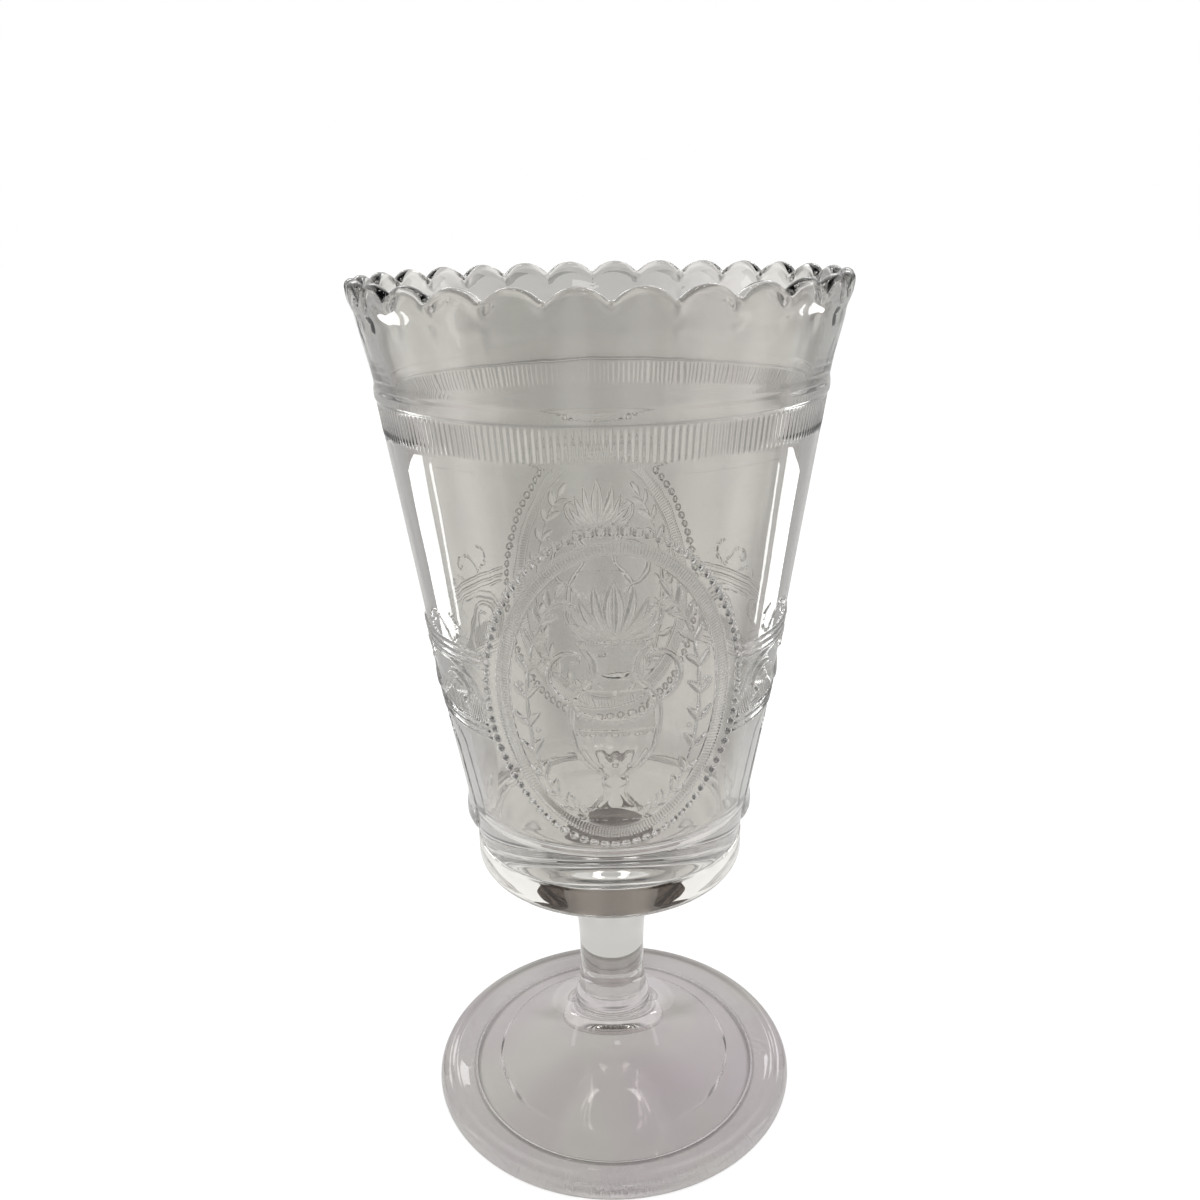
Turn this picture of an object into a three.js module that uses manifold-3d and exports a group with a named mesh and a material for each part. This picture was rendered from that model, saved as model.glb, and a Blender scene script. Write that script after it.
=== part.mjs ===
// Pressed glass pedestal vase: a tapered bowl with a scalloped rim and two oval medallions, a solid stem,
// the wafer of glass that the stem was joined by, and a broad hollow foot. All joints were fused hot.
// Millimetres, +Z up. The origin is the centre of the ring that the foot stands on, and -Y is the front.
import * as THREE from "three";
import { mergeVertices } from "three/addons/utils/BufferGeometryUtils.js";
import Module from "manifold-3d";

const wasm = await Module();
wasm.setup();

// Foot
const FOOT_RADIUS = 47;
const FOOT_HEIGHT = 24.2;
const FOOT_EDGE_THICKNESS = 5.7;
const FOOT_SLOPE_RISE = 5;
const FOOT_NECK_DROP = 8.5;
const FOOT_NECK_SPREAD = 1.4;
const STANDING_RING_WIDTH = 7.7;
const FOOT_RECESS_WIDTH = 7.2;
const FOOT_RECESS_DEPTH = 1.8;
const FOOT_DOME_EDGE_HEIGHT = 3.6;
const FOOT_DOME_SHOULDER_HEIGHT = 9.6;
const FOOT_APEX_GLASS = 9;

// Joining wafer and stem: two pulls draw the stem's outline in between its ends
const WAFER_THICKNESS = 3.6;
const WAFER_FOOT_RADIUS = 9.7;
const WAFER_STEM_RADIUS = 8.9;
const WAFER_BULGE = 0.35;
const STEM_LENGTH = 34.2;
const STEM_TOP_RADIUS = 11.5;
const STEM_LOWER_PULL_RADIUS = 7.6;
const STEM_LOWER_PULL_HEIGHT = 12;
const STEM_UPPER_PULL_RADIUS = 8.6;
const STEM_SPREAD_HEIGHT = 8.2;

// Bowl: radii of the outside, and heights above the face that is fused to the stem
const BOWL_HEIGHT = 148;
const BASE_RADIUS = 33;
const BELT_RADIUS = 39;
const RIM_RADIUS = 54.2;
const RIM_FLARE = 4.9;
const UNDERSIDE_RISE = 5.7;
const BASE_CORNER_RADIUS = 4;
const BASE_BAND_TOP = 14.8;
const BASE_BAND_STEP = 0.4;
const WALL = 3.6;
const FLOOR_HEIGHT = 21.5;
const FLOOR_CORNER_RADIUS = 7;
const FLOOR_DISH = 1;

// Collar: the raised band and the ribbed band under the flared rim
const RIM_FLARE_HEIGHT = 21.5;
const RAISED_BAND_WIDTH = 5;
const RAISED_BAND_PROUD = 0.65;
const RIBBED_BAND_WIDTH = 5.8;
const RIBBED_BAND_PROUD = 0.25;
const RIM_THICKNESS = 3.2;
const RIM_BULGE_HEIGHT = 5;
const RIM_BULGE_PROUD = 1.3;

// Scallops of the rim
const SCALLOP_COUNT = 28;
const SCALLOP_DEPTH = 2.9;
const SCALLOP_REACH = 8;

// Belt of raised lines round the bowl, between the medallions
const BELT_BOTTOM = 52;
const BELT_WIDTH = 20.5;
const BELT_LINE_GAP = 2.1;
const BELT_LINE_WIDTH = 0.9;
const BELT_LINE_PROUD = 0.45;

// Oval medallions at the front and back: a raised oval frame inside a row of beads
const MEDALLION_HALF_WIDTH = 26.7;
const MEDALLION_MARGIN_BELOW = 13.2;
const MEDALLION_MARGIN_ABOVE = 12.8;
const FRAME_INSET = 2;
const FRAME_WIDTH = 3.2;
const FRAME_PROUD = 0.5;
const BEAD_COUNT = 88;
const BEAD_RADIUS = 0.95;
const BEAD_PROUD = 1;
const BEAD_SINK = 0.25;

// Raised panels low on the sides: they swell towards a rounded end that overhangs the base band
const SIDE_PANEL_HALF_WIDTH = 14;
const SIDE_PANEL_MARGIN_BELOW = 0.6;
const SIDE_PANEL_MARGIN_ABOVE = 2.5;
const SIDE_PANEL_PROUD = 0.1;
const SIDE_PANEL_SWELL = 1.6;
const SIDE_PANEL_SWELL_HEIGHT = 5;
const SIDE_PANEL_SWELL_TOP = 12;

// Fineness of the facets, and how relief and collar are rooted in the wall
const COLLAR_SEGMENTS = SCALLOP_COUNT * 4;
const WALL_SEGMENTS = SCALLOP_COUNT * 2;
const FOOT_SEGMENTS = 48;
const STEM_SEGMENTS = 36;
const OVAL_SEGMENTS = 40;
const BEAD_SEGMENTS = 6;
const ROUNDING_STEPS = 3;
const FLARE_STEPS = 5;
const RELIEF_ROOT = 0.8;
const COLLAR_LEDGE = 0.15;

const shoulderRadius = RIM_RADIUS - RIM_FLARE;
const raisedRadius = shoulderRadius + RAISED_BAND_PROUD;
const raisedBandTop = BOWL_HEIGHT - RIM_FLARE_HEIGHT;
const ribbedBandTop = raisedBandTop - RAISED_BAND_WIDTH;
const ribbedBandBottom = ribbedBandTop - RIBBED_BAND_WIDTH;
const medallionBottom = BASE_BAND_TOP + MEDALLION_MARGIN_BELOW;
const medallionTop = ribbedBandBottom - MEDALLION_MARGIN_ABOVE;

/** Points of an arc about (x, y), from one angle to another in degrees, with both ends. */
function arc(x, y, radius, from, to, steps = ROUNDING_STEPS) {
  const start = THREE.MathUtils.degToRad(from);
  const end = THREE.MathUtils.degToRad(to);
  return new THREE.EllipseCurve(x, y, radius, radius, start, end, end < start).getPoints(steps);
}

/** Points of a cubic curve from one corner to another, pulled by two handles. */
function sweep(corner, firstHandle, secondHandle, endCorner, steps = FLARE_STEPS) {
  const corners = [corner, firstHandle, secondHandle, endCorner].map(([x, y]) => new THREE.Vector2(x, y));
  return new THREE.CubicBezierCurve(...corners).getPoints(steps);
}

/** A profile of arrays [radius, height] and Vector2 points, turned about the vertical axis. */
function revolve(profile, segments) {
  const points = profile.map((point) => (Array.isArray(point) ? new THREE.Vector2(...point) : point));
  return new THREE.LatheGeometry(points, segments).rotateX(Math.PI / 2);
}

/** A closed three.js geometry as a solid that can be joined and cut. */
function solidOf(geometry) {
  const bare = geometry.clone();
  bare.deleteAttribute("normal");
  bare.deleteAttribute("uv");
  const merged = mergeVertices(bare, 1e-4);
  return new wasm.Manifold(
    new wasm.Mesh({
      numProp: 3,
      vertProperties: Float32Array.from(merged.attributes.position.array),
      triVerts: Uint32Array.from(merged.index.array),
    }),
  );
}

/** The three.js geometry of a solid, with flat facets. */
function geometryOf(solid) {
  const { vertProperties, triVerts, numProp } = solid.getMesh();
  const positions = new Float32Array(triVerts.length * 3);
  triVerts.forEach((vertex, corner) => {
    for (let axis = 0; axis < 3; axis += 1) {
      positions[corner * 3 + axis] = vertProperties[vertex * numProp + axis];
    }
  });
  const geometry = new THREE.BufferGeometry();
  geometry.setAttribute("position", new THREE.BufferAttribute(positions, 3));
  geometry.computeVertexNormals();
  return geometry;
}

/** Outside radius of the plain wall at a height in the bowl: one taper below the belt, another above it. */
function wallRadius(height) {
  if (height < BELT_BOTTOM) {
    const foot = BASE_RADIUS - BASE_BAND_STEP;
    return THREE.MathUtils.mapLinear(height, BASE_BAND_TOP, BELT_BOTTOM, foot, BELT_RADIUS);
  }
  return THREE.MathUtils.mapLinear(height, BELT_BOTTOM, ribbedBandTop, BELT_RADIUS, shoulderRadius);
}

/** Radius of the bowl's inside at a height between the belt and the top of the raised band. */
function insideRadius(height) {
  const outside = THREE.MathUtils.mapLinear(height, BELT_BOTTOM, raisedBandTop, BELT_RADIUS, raisedRadius);
  return outside - WALL;
}

/** How far the rim lies under the tips of the scallops at an azimuth, each scallop being an arc. */
function scallopDrop(azimuth) {
  const turns = (azimuth / (2 * Math.PI)) * SCALLOP_COUNT - 0.5;
  const chord = (2 * Math.PI * RIM_RADIUS) / SCALLOP_COUNT;
  const fromPeak = (turns - Math.round(turns)) * chord;
  const radius = (chord ** 2 / 4 + SCALLOP_DEPTH ** 2) / (2 * SCALLOP_DEPTH);
  return radius - Math.sqrt(radius ** 2 - fromPeak ** 2);
}

/** Draws the rim down between the scallops, fading out over SCALLOP_REACH below the tips. */
function scallopRim(geometry) {
  const position = geometry.getAttribute("position");
  const reachStart = BOWL_HEIGHT - SCALLOP_REACH;
  for (let index = 0; index < position.count; index += 1) {
    const height = position.getZ(index);
    if (height <= reachStart) {
      continue;
    }
    const azimuth = Math.atan2(position.getX(index), -position.getY(index));
    const share = (height - reachStart) / SCALLOP_REACH;
    position.setZ(index, height - share * scallopDrop(azimuth));
  }
  return geometry;
}

/** The cup's section, from the middle of its underside out, up into the collar and down to the floor. */
function cupProfile() {
  const cornerCentre = BASE_RADIUS - BASE_CORNER_RADIUS;
  const undersideMiddle = (STEM_TOP_RADIUS + cornerCentre) / 2;
  const cupTop = ribbedBandBottom + RELIEF_ROOT;
  const floorCorner = FLOOR_HEIGHT + FLOOR_CORNER_RADIUS;
  return [
    [0, 0],
    ...sweep(
      [STEM_TOP_RADIUS, 0],
      [undersideMiddle, 0],
      [undersideMiddle, UNDERSIDE_RISE],
      [cornerCentre - BASE_CORNER_RADIUS / 2, UNDERSIDE_RISE],
      ROUNDING_STEPS,
    ),
    ...arc(cornerCentre, UNDERSIDE_RISE + BASE_CORNER_RADIUS, BASE_CORNER_RADIUS, -90, 0),
    [BASE_RADIUS, BASE_BAND_TOP - BASE_BAND_STEP],
    [wallRadius(BASE_BAND_TOP), BASE_BAND_TOP],
    [wallRadius(BELT_BOTTOM), BELT_BOTTOM],
    [wallRadius(cupTop), cupTop],
    [insideRadius(cupTop) + COLLAR_LEDGE, cupTop],
    [insideRadius(BELT_BOTTOM), BELT_BOTTOM],
    ...arc(wallRadius(floorCorner) - WALL - FLOOR_CORNER_RADIUS, floorCorner, FLOOR_CORNER_RADIUS, 0, -90),
    [0, FLOOR_HEIGHT - FLOOR_DISH],
  ];
}

/** The collar's section: the ribbed band, the raised band and the flared rim, and back down the inside. */
function collarProfile() {
  const lip = RIM_THICKNESS / 2;
  const bulgeBottom = BOWL_HEIGHT - RIM_BULGE_HEIGHT - lip;
  const bandBottomRadius = wallRadius(ribbedBandBottom);
  return [
    [insideRadius(ribbedBandBottom), ribbedBandBottom],
    [bandBottomRadius - RELIEF_ROOT, ribbedBandBottom],
    [bandBottomRadius + RIBBED_BAND_PROUD, ribbedBandBottom + RIBBED_BAND_PROUD],
    [shoulderRadius + RIBBED_BAND_PROUD, ribbedBandTop - RAISED_BAND_PROUD],
    [raisedRadius, ribbedBandTop],
    [raisedRadius, raisedBandTop],
    [RIM_RADIUS - RIM_BULGE_PROUD, bulgeBottom],
    ...arc(RIM_RADIUS - lip, BOWL_HEIGHT - lip, lip, 0, 180, ROUNDING_STEPS + 1),
    [RIM_RADIUS - RIM_THICKNESS - RIM_BULGE_PROUD, bulgeBottom],
    [insideRadius(raisedBandTop), raisedBandTop],
    [insideRadius(ribbedBandBottom), ribbedBandBottom],
  ];
}

/** A ring that stands proud of the wall, rooted in the glass, from stations [height, proud] going up. */
function proudRing(stations) {
  const outside = stations.map(([height, proud]) => [wallRadius(height) + proud, height]);
  const inside = stations.map(([height]) => [wallRadius(height) - RELIEF_ROOT, height]).reverse();
  return solidOf(revolve([...outside, ...inside, outside[0]], WALL_SEGMENTS));
}

/** A thin raised line round the bowl at a height. */
function beltLine(height) {
  const bottom = height - BELT_LINE_WIDTH / 2;
  const top = height + BELT_LINE_WIDTH / 2;
  const root = [wallRadius(bottom) - BELT_LINE_PROUD, bottom];
  const crest = [wallRadius(height) + BELT_LINE_PROUD, height];
  return solidOf(revolve([root, crest, [wallRadius(top) - BELT_LINE_PROUD, top], root], WALL_SEGMENTS));
}

/** Points of the medallion's oval, drawn in by a distance, as seen from the front. */
function medallionOval(inset) {
  const middle = (medallionBottom + medallionTop) / 2;
  const halfHeight = (medallionTop - medallionBottom) / 2;
  const oval = new THREE.EllipseCurve(0, middle, MEDALLION_HALF_WIDTH - inset, halfHeight - inset);
  return oval.getPoints(OVAL_SEGMENTS).slice(1);
}

/** A shape seen from the front, cut right through the bowl from front to back. */
function throughBowl(shape) {
  const reach = RIM_RADIUS * 2;
  const geometry = new THREE.ExtrudeGeometry(shape, { depth: reach, bevelEnabled: false });
  return solidOf(geometry.translate(0, 0, -reach / 2).rotateX(Math.PI / 2));
}

/** The raised oval frames of both medallions. */
function medallionFrames() {
  const shape = new THREE.Shape(medallionOval(FRAME_INSET));
  shape.holes.push(new THREE.Path(medallionOval(FRAME_INSET + FRAME_WIDTH)));
  const heights = [medallionBottom, BELT_BOTTOM, medallionTop];
  return proudRing(heights.map((height) => [height, FRAME_PROUD])).intersect(throughBowl(shape));
}

/** A bead at a point of the wall: a low six-sided dome, whose lower half is sunk in the glass. */
function bead(point) {
  const dome = new THREE.SphereGeometry(BEAD_RADIUS, BEAD_SEGMENTS, 2).scale(1, BEAD_PROUD / BEAD_RADIUS, 1);
  const reach = Math.hypot(point.x, point.y) - BEAD_SINK;
  return solidOf(dome.translate(0, -reach, point.z).rotateZ(Math.atan2(point.x, -point.y)));
}

/** The rows of beads round both medallions, evenly spaced along the oval as it lies on the tapered wall. */
function beadRows() {
  const onWall = ({ x, y }) => new THREE.Vector3(x, -Math.sqrt(wallRadius(y) ** 2 - x ** 2), y);
  const line = new THREE.CatmullRomCurve3(medallionOval(0).map(onWall), true);
  const front = wasm.Manifold.union(line.getSpacedPoints(BEAD_COUNT).slice(1).map(bead));
  return front.add(front.rotate([0, 0, 180]));
}

/** The belt's lines, in pairs at its top and bottom, broken where the medallions are. */
function belt() {
  const top = BELT_BOTTOM + BELT_WIDTH;
  const heights = [BELT_BOTTOM, BELT_BOTTOM + BELT_LINE_GAP, top - BELT_LINE_GAP, top];
  const medallions = throughBowl(new THREE.Shape(medallionOval(-BEAD_RADIUS)));
  return wasm.Manifold.union(heights.map(beltLine)).subtract(medallions);
}

/** The raised panels low on the bowl's left and right sides, arched at the top and round at the foot. */
function sidePanels() {
  const bottom = BASE_BAND_TOP + SIDE_PANEL_MARGIN_BELOW;
  const top = BELT_BOTTOM - SIDE_PANEL_MARGIN_ABOVE;
  const half = SIDE_PANEL_HALF_WIDTH;
  const shape = new THREE.Shape();
  shape.absellipse(0, bottom + half, half, half, Math.PI, 2 * Math.PI, false);
  shape.absellipse(0, top - half / 2, half, half / 2, 0, Math.PI, false);
  const outline = throughBowl(new THREE.Shape(shape.getPoints(ROUNDING_STEPS * 2)));
  const ring = proudRing([
    [BASE_BAND_TOP, SIDE_PANEL_PROUD],
    [bottom + SIDE_PANEL_SWELL_HEIGHT, SIDE_PANEL_SWELL],
    [bottom + SIDE_PANEL_SWELL_TOP, SIDE_PANEL_PROUD],
    [BELT_BOTTOM, SIDE_PANEL_PROUD],
  ]);
  return ring.intersect(outline.rotate([0, 0, 90]));
}

/** The bowl: cup and collar in one pressing, with its relief. The scalloped collar has the finer facets. */
function bowlGeometry() {
  const cup = solidOf(revolve(cupProfile(), WALL_SEGMENTS));
  const collar = solidOf(scallopRim(revolve(collarProfile(), COLLAR_SEGMENTS)));
  return geometryOf(wasm.Manifold.union([cup, collar, medallionFrames(), beadRows(), belt(), sidePanels()]));
}

/** The stem: a solid drop of glass, narrow low down and spread where it meets the bowl. */
function stemGeometry() {
  return revolve(
    [
      [0, 0],
      ...sweep(
        [WAFER_STEM_RADIUS, 0],
        [STEM_LOWER_PULL_RADIUS, STEM_LOWER_PULL_HEIGHT],
        [STEM_UPPER_PULL_RADIUS, STEM_LENGTH - STEM_SPREAD_HEIGHT],
        [STEM_TOP_RADIUS, STEM_LENGTH],
      ),
      [0, STEM_LENGTH],
    ],
    STEM_SEGMENTS,
  );
}

/** The wafer: a disc of hot glass, squeezed out a little between the foot and the stem. */
function waferGeometry() {
  const middleRadius = (WAFER_FOOT_RADIUS + WAFER_STEM_RADIUS) / 2 + WAFER_BULGE;
  return revolve(
    [
      [0, 0],
      [WAFER_FOOT_RADIUS, 0],
      [middleRadius + WAFER_BULGE, WAFER_THICKNESS / 3],
      [middleRadius, (WAFER_THICKNESS * 2) / 3],
      [WAFER_STEM_RADIUS, WAFER_THICKNESS],
      [0, WAFER_THICKNESS],
    ],
    STEM_SEGMENTS,
  );
}

/** The foot: a domed plate with a rounded edge, hollow underneath, on a flat standing ring. */
function footGeometry() {
  const edgeRadius = FOOT_EDGE_THICKNESS / 2;
  const edgeCentre = FOOT_RADIUS - edgeRadius;
  const ringInside = edgeCentre - STANDING_RING_WIDTH;
  const domeRadius = ringInside - FOOT_RECESS_WIDTH;
  const apex = FOOT_HEIGHT - FOOT_APEX_GLASS;
  return revolve(
    [
      ...sweep(
        [0, apex],
        [domeRadius / 2, apex],
        [domeRadius / 2, FOOT_DOME_SHOULDER_HEIGHT],
        [domeRadius, FOOT_DOME_EDGE_HEIGHT],
      ),
      [ringInside - FOOT_RECESS_DEPTH / 2, FOOT_RECESS_DEPTH],
      [ringInside, 0],
      ...arc(edgeCentre, edgeRadius, edgeRadius, -90, 90, ROUNDING_STEPS * 2),
      ...sweep(
        [edgeCentre - edgeRadius, FOOT_EDGE_THICKNESS],
        [edgeCentre / 2, FOOT_EDGE_THICKNESS + FOOT_SLOPE_RISE],
        [WAFER_FOOT_RADIUS + FOOT_NECK_SPREAD, FOOT_HEIGHT - FOOT_NECK_DROP],
        [WAFER_FOOT_RADIUS, FOOT_HEIGHT],
        FLARE_STEPS + 1,
      ),
      [0, FOOT_HEIGHT],
    ],
    FOOT_SEGMENTS,
  );
}

/** A named piece of clear glass at its height on the vase. */
function glassPiece(name, geometry, height, colour) {
  const material = new THREE.MeshStandardMaterial({
    color: colour,
    roughness: 0.05,
    metalness: 0,
    transparent: true,
    opacity: 0.4,
  });
  const mesh = new THREE.Mesh(geometry, material);
  mesh.name = name;
  mesh.position.z = height;
  return mesh;
}

const vase = new THREE.Group();
vase.add(glassPiece("foot", footGeometry(), 0, 0xc9c5c3));
vase.add(glassPiece("joining_wafer", waferGeometry(), FOOT_HEIGHT, 0xc4c0bf));
vase.add(glassPiece("stem", stemGeometry(), FOOT_HEIGHT + WAFER_THICKNESS, 0xc9c8c4));
vase.add(glassPiece("bowl", bowlGeometry(), FOOT_HEIGHT + WAFER_THICKNESS + STEM_LENGTH, 0xc6c5c0));

export default vase;
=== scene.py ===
import logging
import math
from collections.abc import Iterable, Mapping, Sequence
from dataclasses import dataclass, field
from enum import Enum, IntEnum
from functools import reduce

import bpy
import numpy as np
from mathutils import Matrix, Vector


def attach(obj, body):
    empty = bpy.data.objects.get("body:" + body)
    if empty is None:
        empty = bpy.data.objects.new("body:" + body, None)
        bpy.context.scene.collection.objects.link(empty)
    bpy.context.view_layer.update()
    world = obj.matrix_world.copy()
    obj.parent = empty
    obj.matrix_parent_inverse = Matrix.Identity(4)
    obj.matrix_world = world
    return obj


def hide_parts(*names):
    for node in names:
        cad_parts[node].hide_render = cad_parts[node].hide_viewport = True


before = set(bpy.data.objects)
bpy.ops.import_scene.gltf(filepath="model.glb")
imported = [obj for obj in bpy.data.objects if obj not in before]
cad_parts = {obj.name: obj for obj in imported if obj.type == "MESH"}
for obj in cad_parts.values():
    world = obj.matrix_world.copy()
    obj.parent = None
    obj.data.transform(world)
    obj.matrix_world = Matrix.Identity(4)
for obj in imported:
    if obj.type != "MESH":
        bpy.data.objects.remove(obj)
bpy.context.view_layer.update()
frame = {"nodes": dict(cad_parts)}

log = logging.getLogger("vase")

Array = np.ndarray
Station = tuple[float, float]

"""The record's material slot of each node."""

MM = 0.001
"""Metres in a millimetre. Sizes below are in millimetres unless they say otherwise."""

STANDING = 0.05
"""A face below this height stands on the table."""

SLACK = 0.01
"""How far off two heights may be that are meant to be the same."""

GLASS_IOR = 1.5
"""The refractive index of soda-lime glass."""

MIX_A, MIX_B, MIX_RESULT = 6, 7, 2
"""The numbers of a Mix node's sockets for colours."""

MULTIPLY = {"operation": "MULTIPLY"}
LARGER = {"operation": "MAXIMUM"}
SMOOTH = {"interpolation_type": "SMOOTHSTEP"}


def linear(hex_colour: str) -> tuple[float, float, float, float]:
    """Turns an sRGB hex colour to the linear colour that a shader takes.

    Args:
        hex_colour: The colour as six hex digits.

    Returns:
        Red, green, blue and an alpha of 1.
    """
    parts = [int(hex_colour[start : start + 2], 16) / 255 for start in (0, 2, 4)]
    red, green, blue = (
        part / 12.92 if part <= 0.04045 else ((part + 0.055) / 1.055) ** 2.4 for part in parts
    )
    return red, green, blue, 1.0


def add_node(
    tree: bpy.types.NodeTree,
    kind: str,
    settings: Mapping[str, object] | None = None,
    inputs: Mapping[str | int, object] | None = None,
) -> bpy.types.Node:
    """Adds one shader node with its settings and links.

    Args:
        tree: The node tree it goes into.
        kind: The node's type name, without "ShaderNode".
        settings: Properties of the node itself.
        inputs: What its sockets take: a plain value, or an output socket that is linked in.

    Returns:
        The new node.
    """
    node = tree.nodes.new(f"ShaderNode{kind}")
    for name, value in (settings or {}).items():
        setattr(node, name, value)
    for name, value in (inputs or {}).items():
        if isinstance(value, bpy.types.NodeSocket):
            tree.links.new(value, node.inputs[name])
        else:
            node.inputs[name].default_value = value
    return node


def new_material(name: str, values: Mapping[str, object]) -> tuple[bpy.types.Material, bpy.types.Node]:
    """Makes a material with a Principled shader.

    Args:
        name: The material's name.
        values: What the shader's sockets are set to.

    Returns:
        The material and its shader.
    """
    material = bpy.data.materials.new(name)
    material.use_nodes = True
    shader = material.node_tree.nodes["Principled BSDF"]
    for socket, value in values.items():
        shader.inputs[socket].default_value = value
    return material, shader


class Slot(IntEnum):
    """The material slots of a piece of glass."""

    GLASS = 0
    MEETING = 1
    SPECIAL = 2


class Ripple(Enum):
    """How the faint waves in a pressed surface run: across, across and up, as shares of their width."""

    UPRIGHT = (1.0, 1.0, 0.08)
    ROUND = (1.0, 1.0, 1.0)


@dataclass(frozen=True)
class PressedGlass:
    """Soda-lime glass, pressed in an iron mould and fire polished, which has gone very faintly amethyst.

    The fire polish leaves it as smooth as a mirror, but with faint broad waves, so that what is seen
    through it swims a little.

    Attributes:
        name: The material's name.
        clear: The colour of light that has passed through one wall.
        tinge: The same where the glass has turned.
        ripple: How the waves run.
        ripple_width: How broad a wave is.
        ripple_depth: How deep the bump of a wave is.
        deep: The colour low on the piece, where the glass is thick, or none where it is thin all over. On the
            bowl it is lighter than clear: painted light on the base.
        deep_heights: The heights between which it goes from deep to clear.
        cloud_width: How broad the turned places are.
        roughness: The shader's roughness.
    """

    name: str
    clear: str
    tinge: str
    ripple: Ripple
    ripple_width: float
    ripple_depth: float
    deep: str | None = None
    deep_heights: tuple[float, float] = (0.0, 1.0)
    cloud_width: float = 26.0
    roughness: float = 0.0

    def make(self) -> bpy.types.Material:
        """Makes the material.

        Returns:
            The material.
        """
        material, shader = new_material(
            self.name, {"Roughness": self.roughness, "IOR": GLASS_IOR, "Transmission Weight": 1.0}
        )
        tree = material.node_tree
        place = add_node(tree, "TexCoord").outputs["Object"]
        scale = [share / (self.ripple_width * MM) for share in self.ripple.value]
        stretched = add_node(tree, "Mapping", inputs={"Vector": place, "Scale": scale}).outputs["Vector"]
        waves = add_node(tree, "TexNoise", inputs={"Vector": stretched, "Scale": 1.0, "Detail": 1.0})
        cloud_scale = 1 / (self.cloud_width * MM)
        clouds = add_node(tree, "TexNoise", inputs={"Vector": place, "Scale": cloud_scale, "Detail": 1.0})
        turned = add_node(
            tree, "MapRange", inputs={"Value": clouds.outputs["Fac"], "From Min": 0.35, "From Max": 0.65}
        )
        shade = add_node(
            tree,
            "Mix",
            {"data_type": "RGBA"},
            {"Factor": turned.outputs["Result"], MIX_A: linear(self.clear), MIX_B: linear(self.tinge)},
        ).outputs[MIX_RESULT]
        # Below the deep heights the colour turns to deep. On the bowl this is a lighter colour: painted light
        # that brightens the base.
        if self.deep:
            up = add_node(tree, "SeparateXYZ", inputs={0: place}).outputs["Z"]
            low, high = (height * MM for height in self.deep_heights)
            thin = add_node(tree, "MapRange", SMOOTH, {"Value": up, "From Min": low, "From Max": high})
            shade = add_node(
                tree,
                "Mix",
                {"data_type": "RGBA"},
                {"Factor": thin.outputs["Result"], MIX_A: linear(self.deep), MIX_B: shade},
            ).outputs[MIX_RESULT]
        tree.links.new(shade, shader.inputs["Base Color"])
        bump = add_node(
            tree,
            "Bump",
            inputs={"Height": waves.outputs["Fac"], "Distance": self.ripple_depth * MM, "Strength": 1.0},
        )
        tree.links.new(bump.outputs["Normal"], shader.inputs["Normal"])
        return material


@dataclass(frozen=True)
class ScuffedGlass:
    """The same glass where it has stood and slid for years: fine scuffs that run out from the middle.

    Attributes:
        name: The material's name.
        clear: The colour of light that has passed through.
        scuffs: How many scuffs there are round the ring.
        scuff_length: How long a scuff is.
        scuff_depth: How deep the bump of a scuff is.
        roughness: The shader's roughness, between the scuffs and in them.
    """

    name: str
    clear: str
    scuffs: int
    scuff_length: float
    scuff_depth: float = 0.09
    roughness: tuple[float, float] = (0.02, 0.45)

    def make(self) -> bpy.types.Material:
        """Makes the material.

        Returns:
            The material.
        """
        material, shader = new_material(
            self.name, {"Base Color": linear(self.clear), "IOR": GLASS_IOR, "Transmission Weight": 1.0}
        )
        tree = material.node_tree
        place = add_node(tree, "TexCoord").outputs["Object"]
        turn = add_node(tree, "TexGradient", {"gradient_type": "RADIAL"}, {"Vector": place})
        reach = add_node(tree, "VectorMath", {"operation": "LENGTH"}, {0: place})
        around = add_node(tree, "Math", MULTIPLY, {0: turn.outputs["Fac"], 1: float(self.scuffs)})
        length_scale = 1 / (self.scuff_length * MM)
        outward = add_node(tree, "Math", MULTIPLY, {0: reach.outputs["Value"], 1: length_scale})
        unrolled = add_node(tree, "CombineXYZ", inputs={"X": around.outputs[0], "Y": outward.outputs[0]})
        scuffing = add_node(
            tree, "TexNoise", inputs={"Vector": unrolled.outputs["Vector"], "Scale": 1.0, "Detail": 3.0}
        ).outputs["Fac"]
        low, high = self.roughness
        rough = add_node(
            tree,
            "MapRange",
            inputs={"Value": scuffing, "From Min": 0.45, "From Max": 0.7, "To Min": low, "To Max": high},
        )
        tree.links.new(rough.outputs["Result"], shader.inputs["Roughness"])
        bump = add_node(
            tree, "Bump", inputs={"Height": scuffing, "Distance": self.scuff_depth * MM, "Strength": 0.8}
        )
        tree.links.new(bump.outputs["Normal"], shader.inputs["Normal"])
        return material


@dataclass(frozen=True)
class ClearMeetingOrPaintedShade:
    """The inside of the glass, where two drawn pieces of it meet: fused glass shows little or nothing there.
    A darker colour on such a face is painted shade.

    Attributes:
        name: The material's name.
        clear: The colour of light that has passed through: white where the joint can't be seen, darker where
            shade is painted on the face.
    """

    name: str
    clear: str = "ffffff"

    def make(self) -> bpy.types.Material:
        """Makes the material.

        Returns:
            The material.
        """
        material, shader = new_material(self.name, {})
        tree = material.node_tree
        tree.nodes.remove(shader)
        clear = add_node(tree, "BsdfTransparent", inputs={"Color": linear(self.clear)})
        tree.links.new(clear.outputs["BSDF"], tree.nodes["Material Output"].inputs["Surface"])
        return material


# The bowl's glass turns lighter below 84 mm, fully so under 76 mm: painted light on the base.
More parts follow.
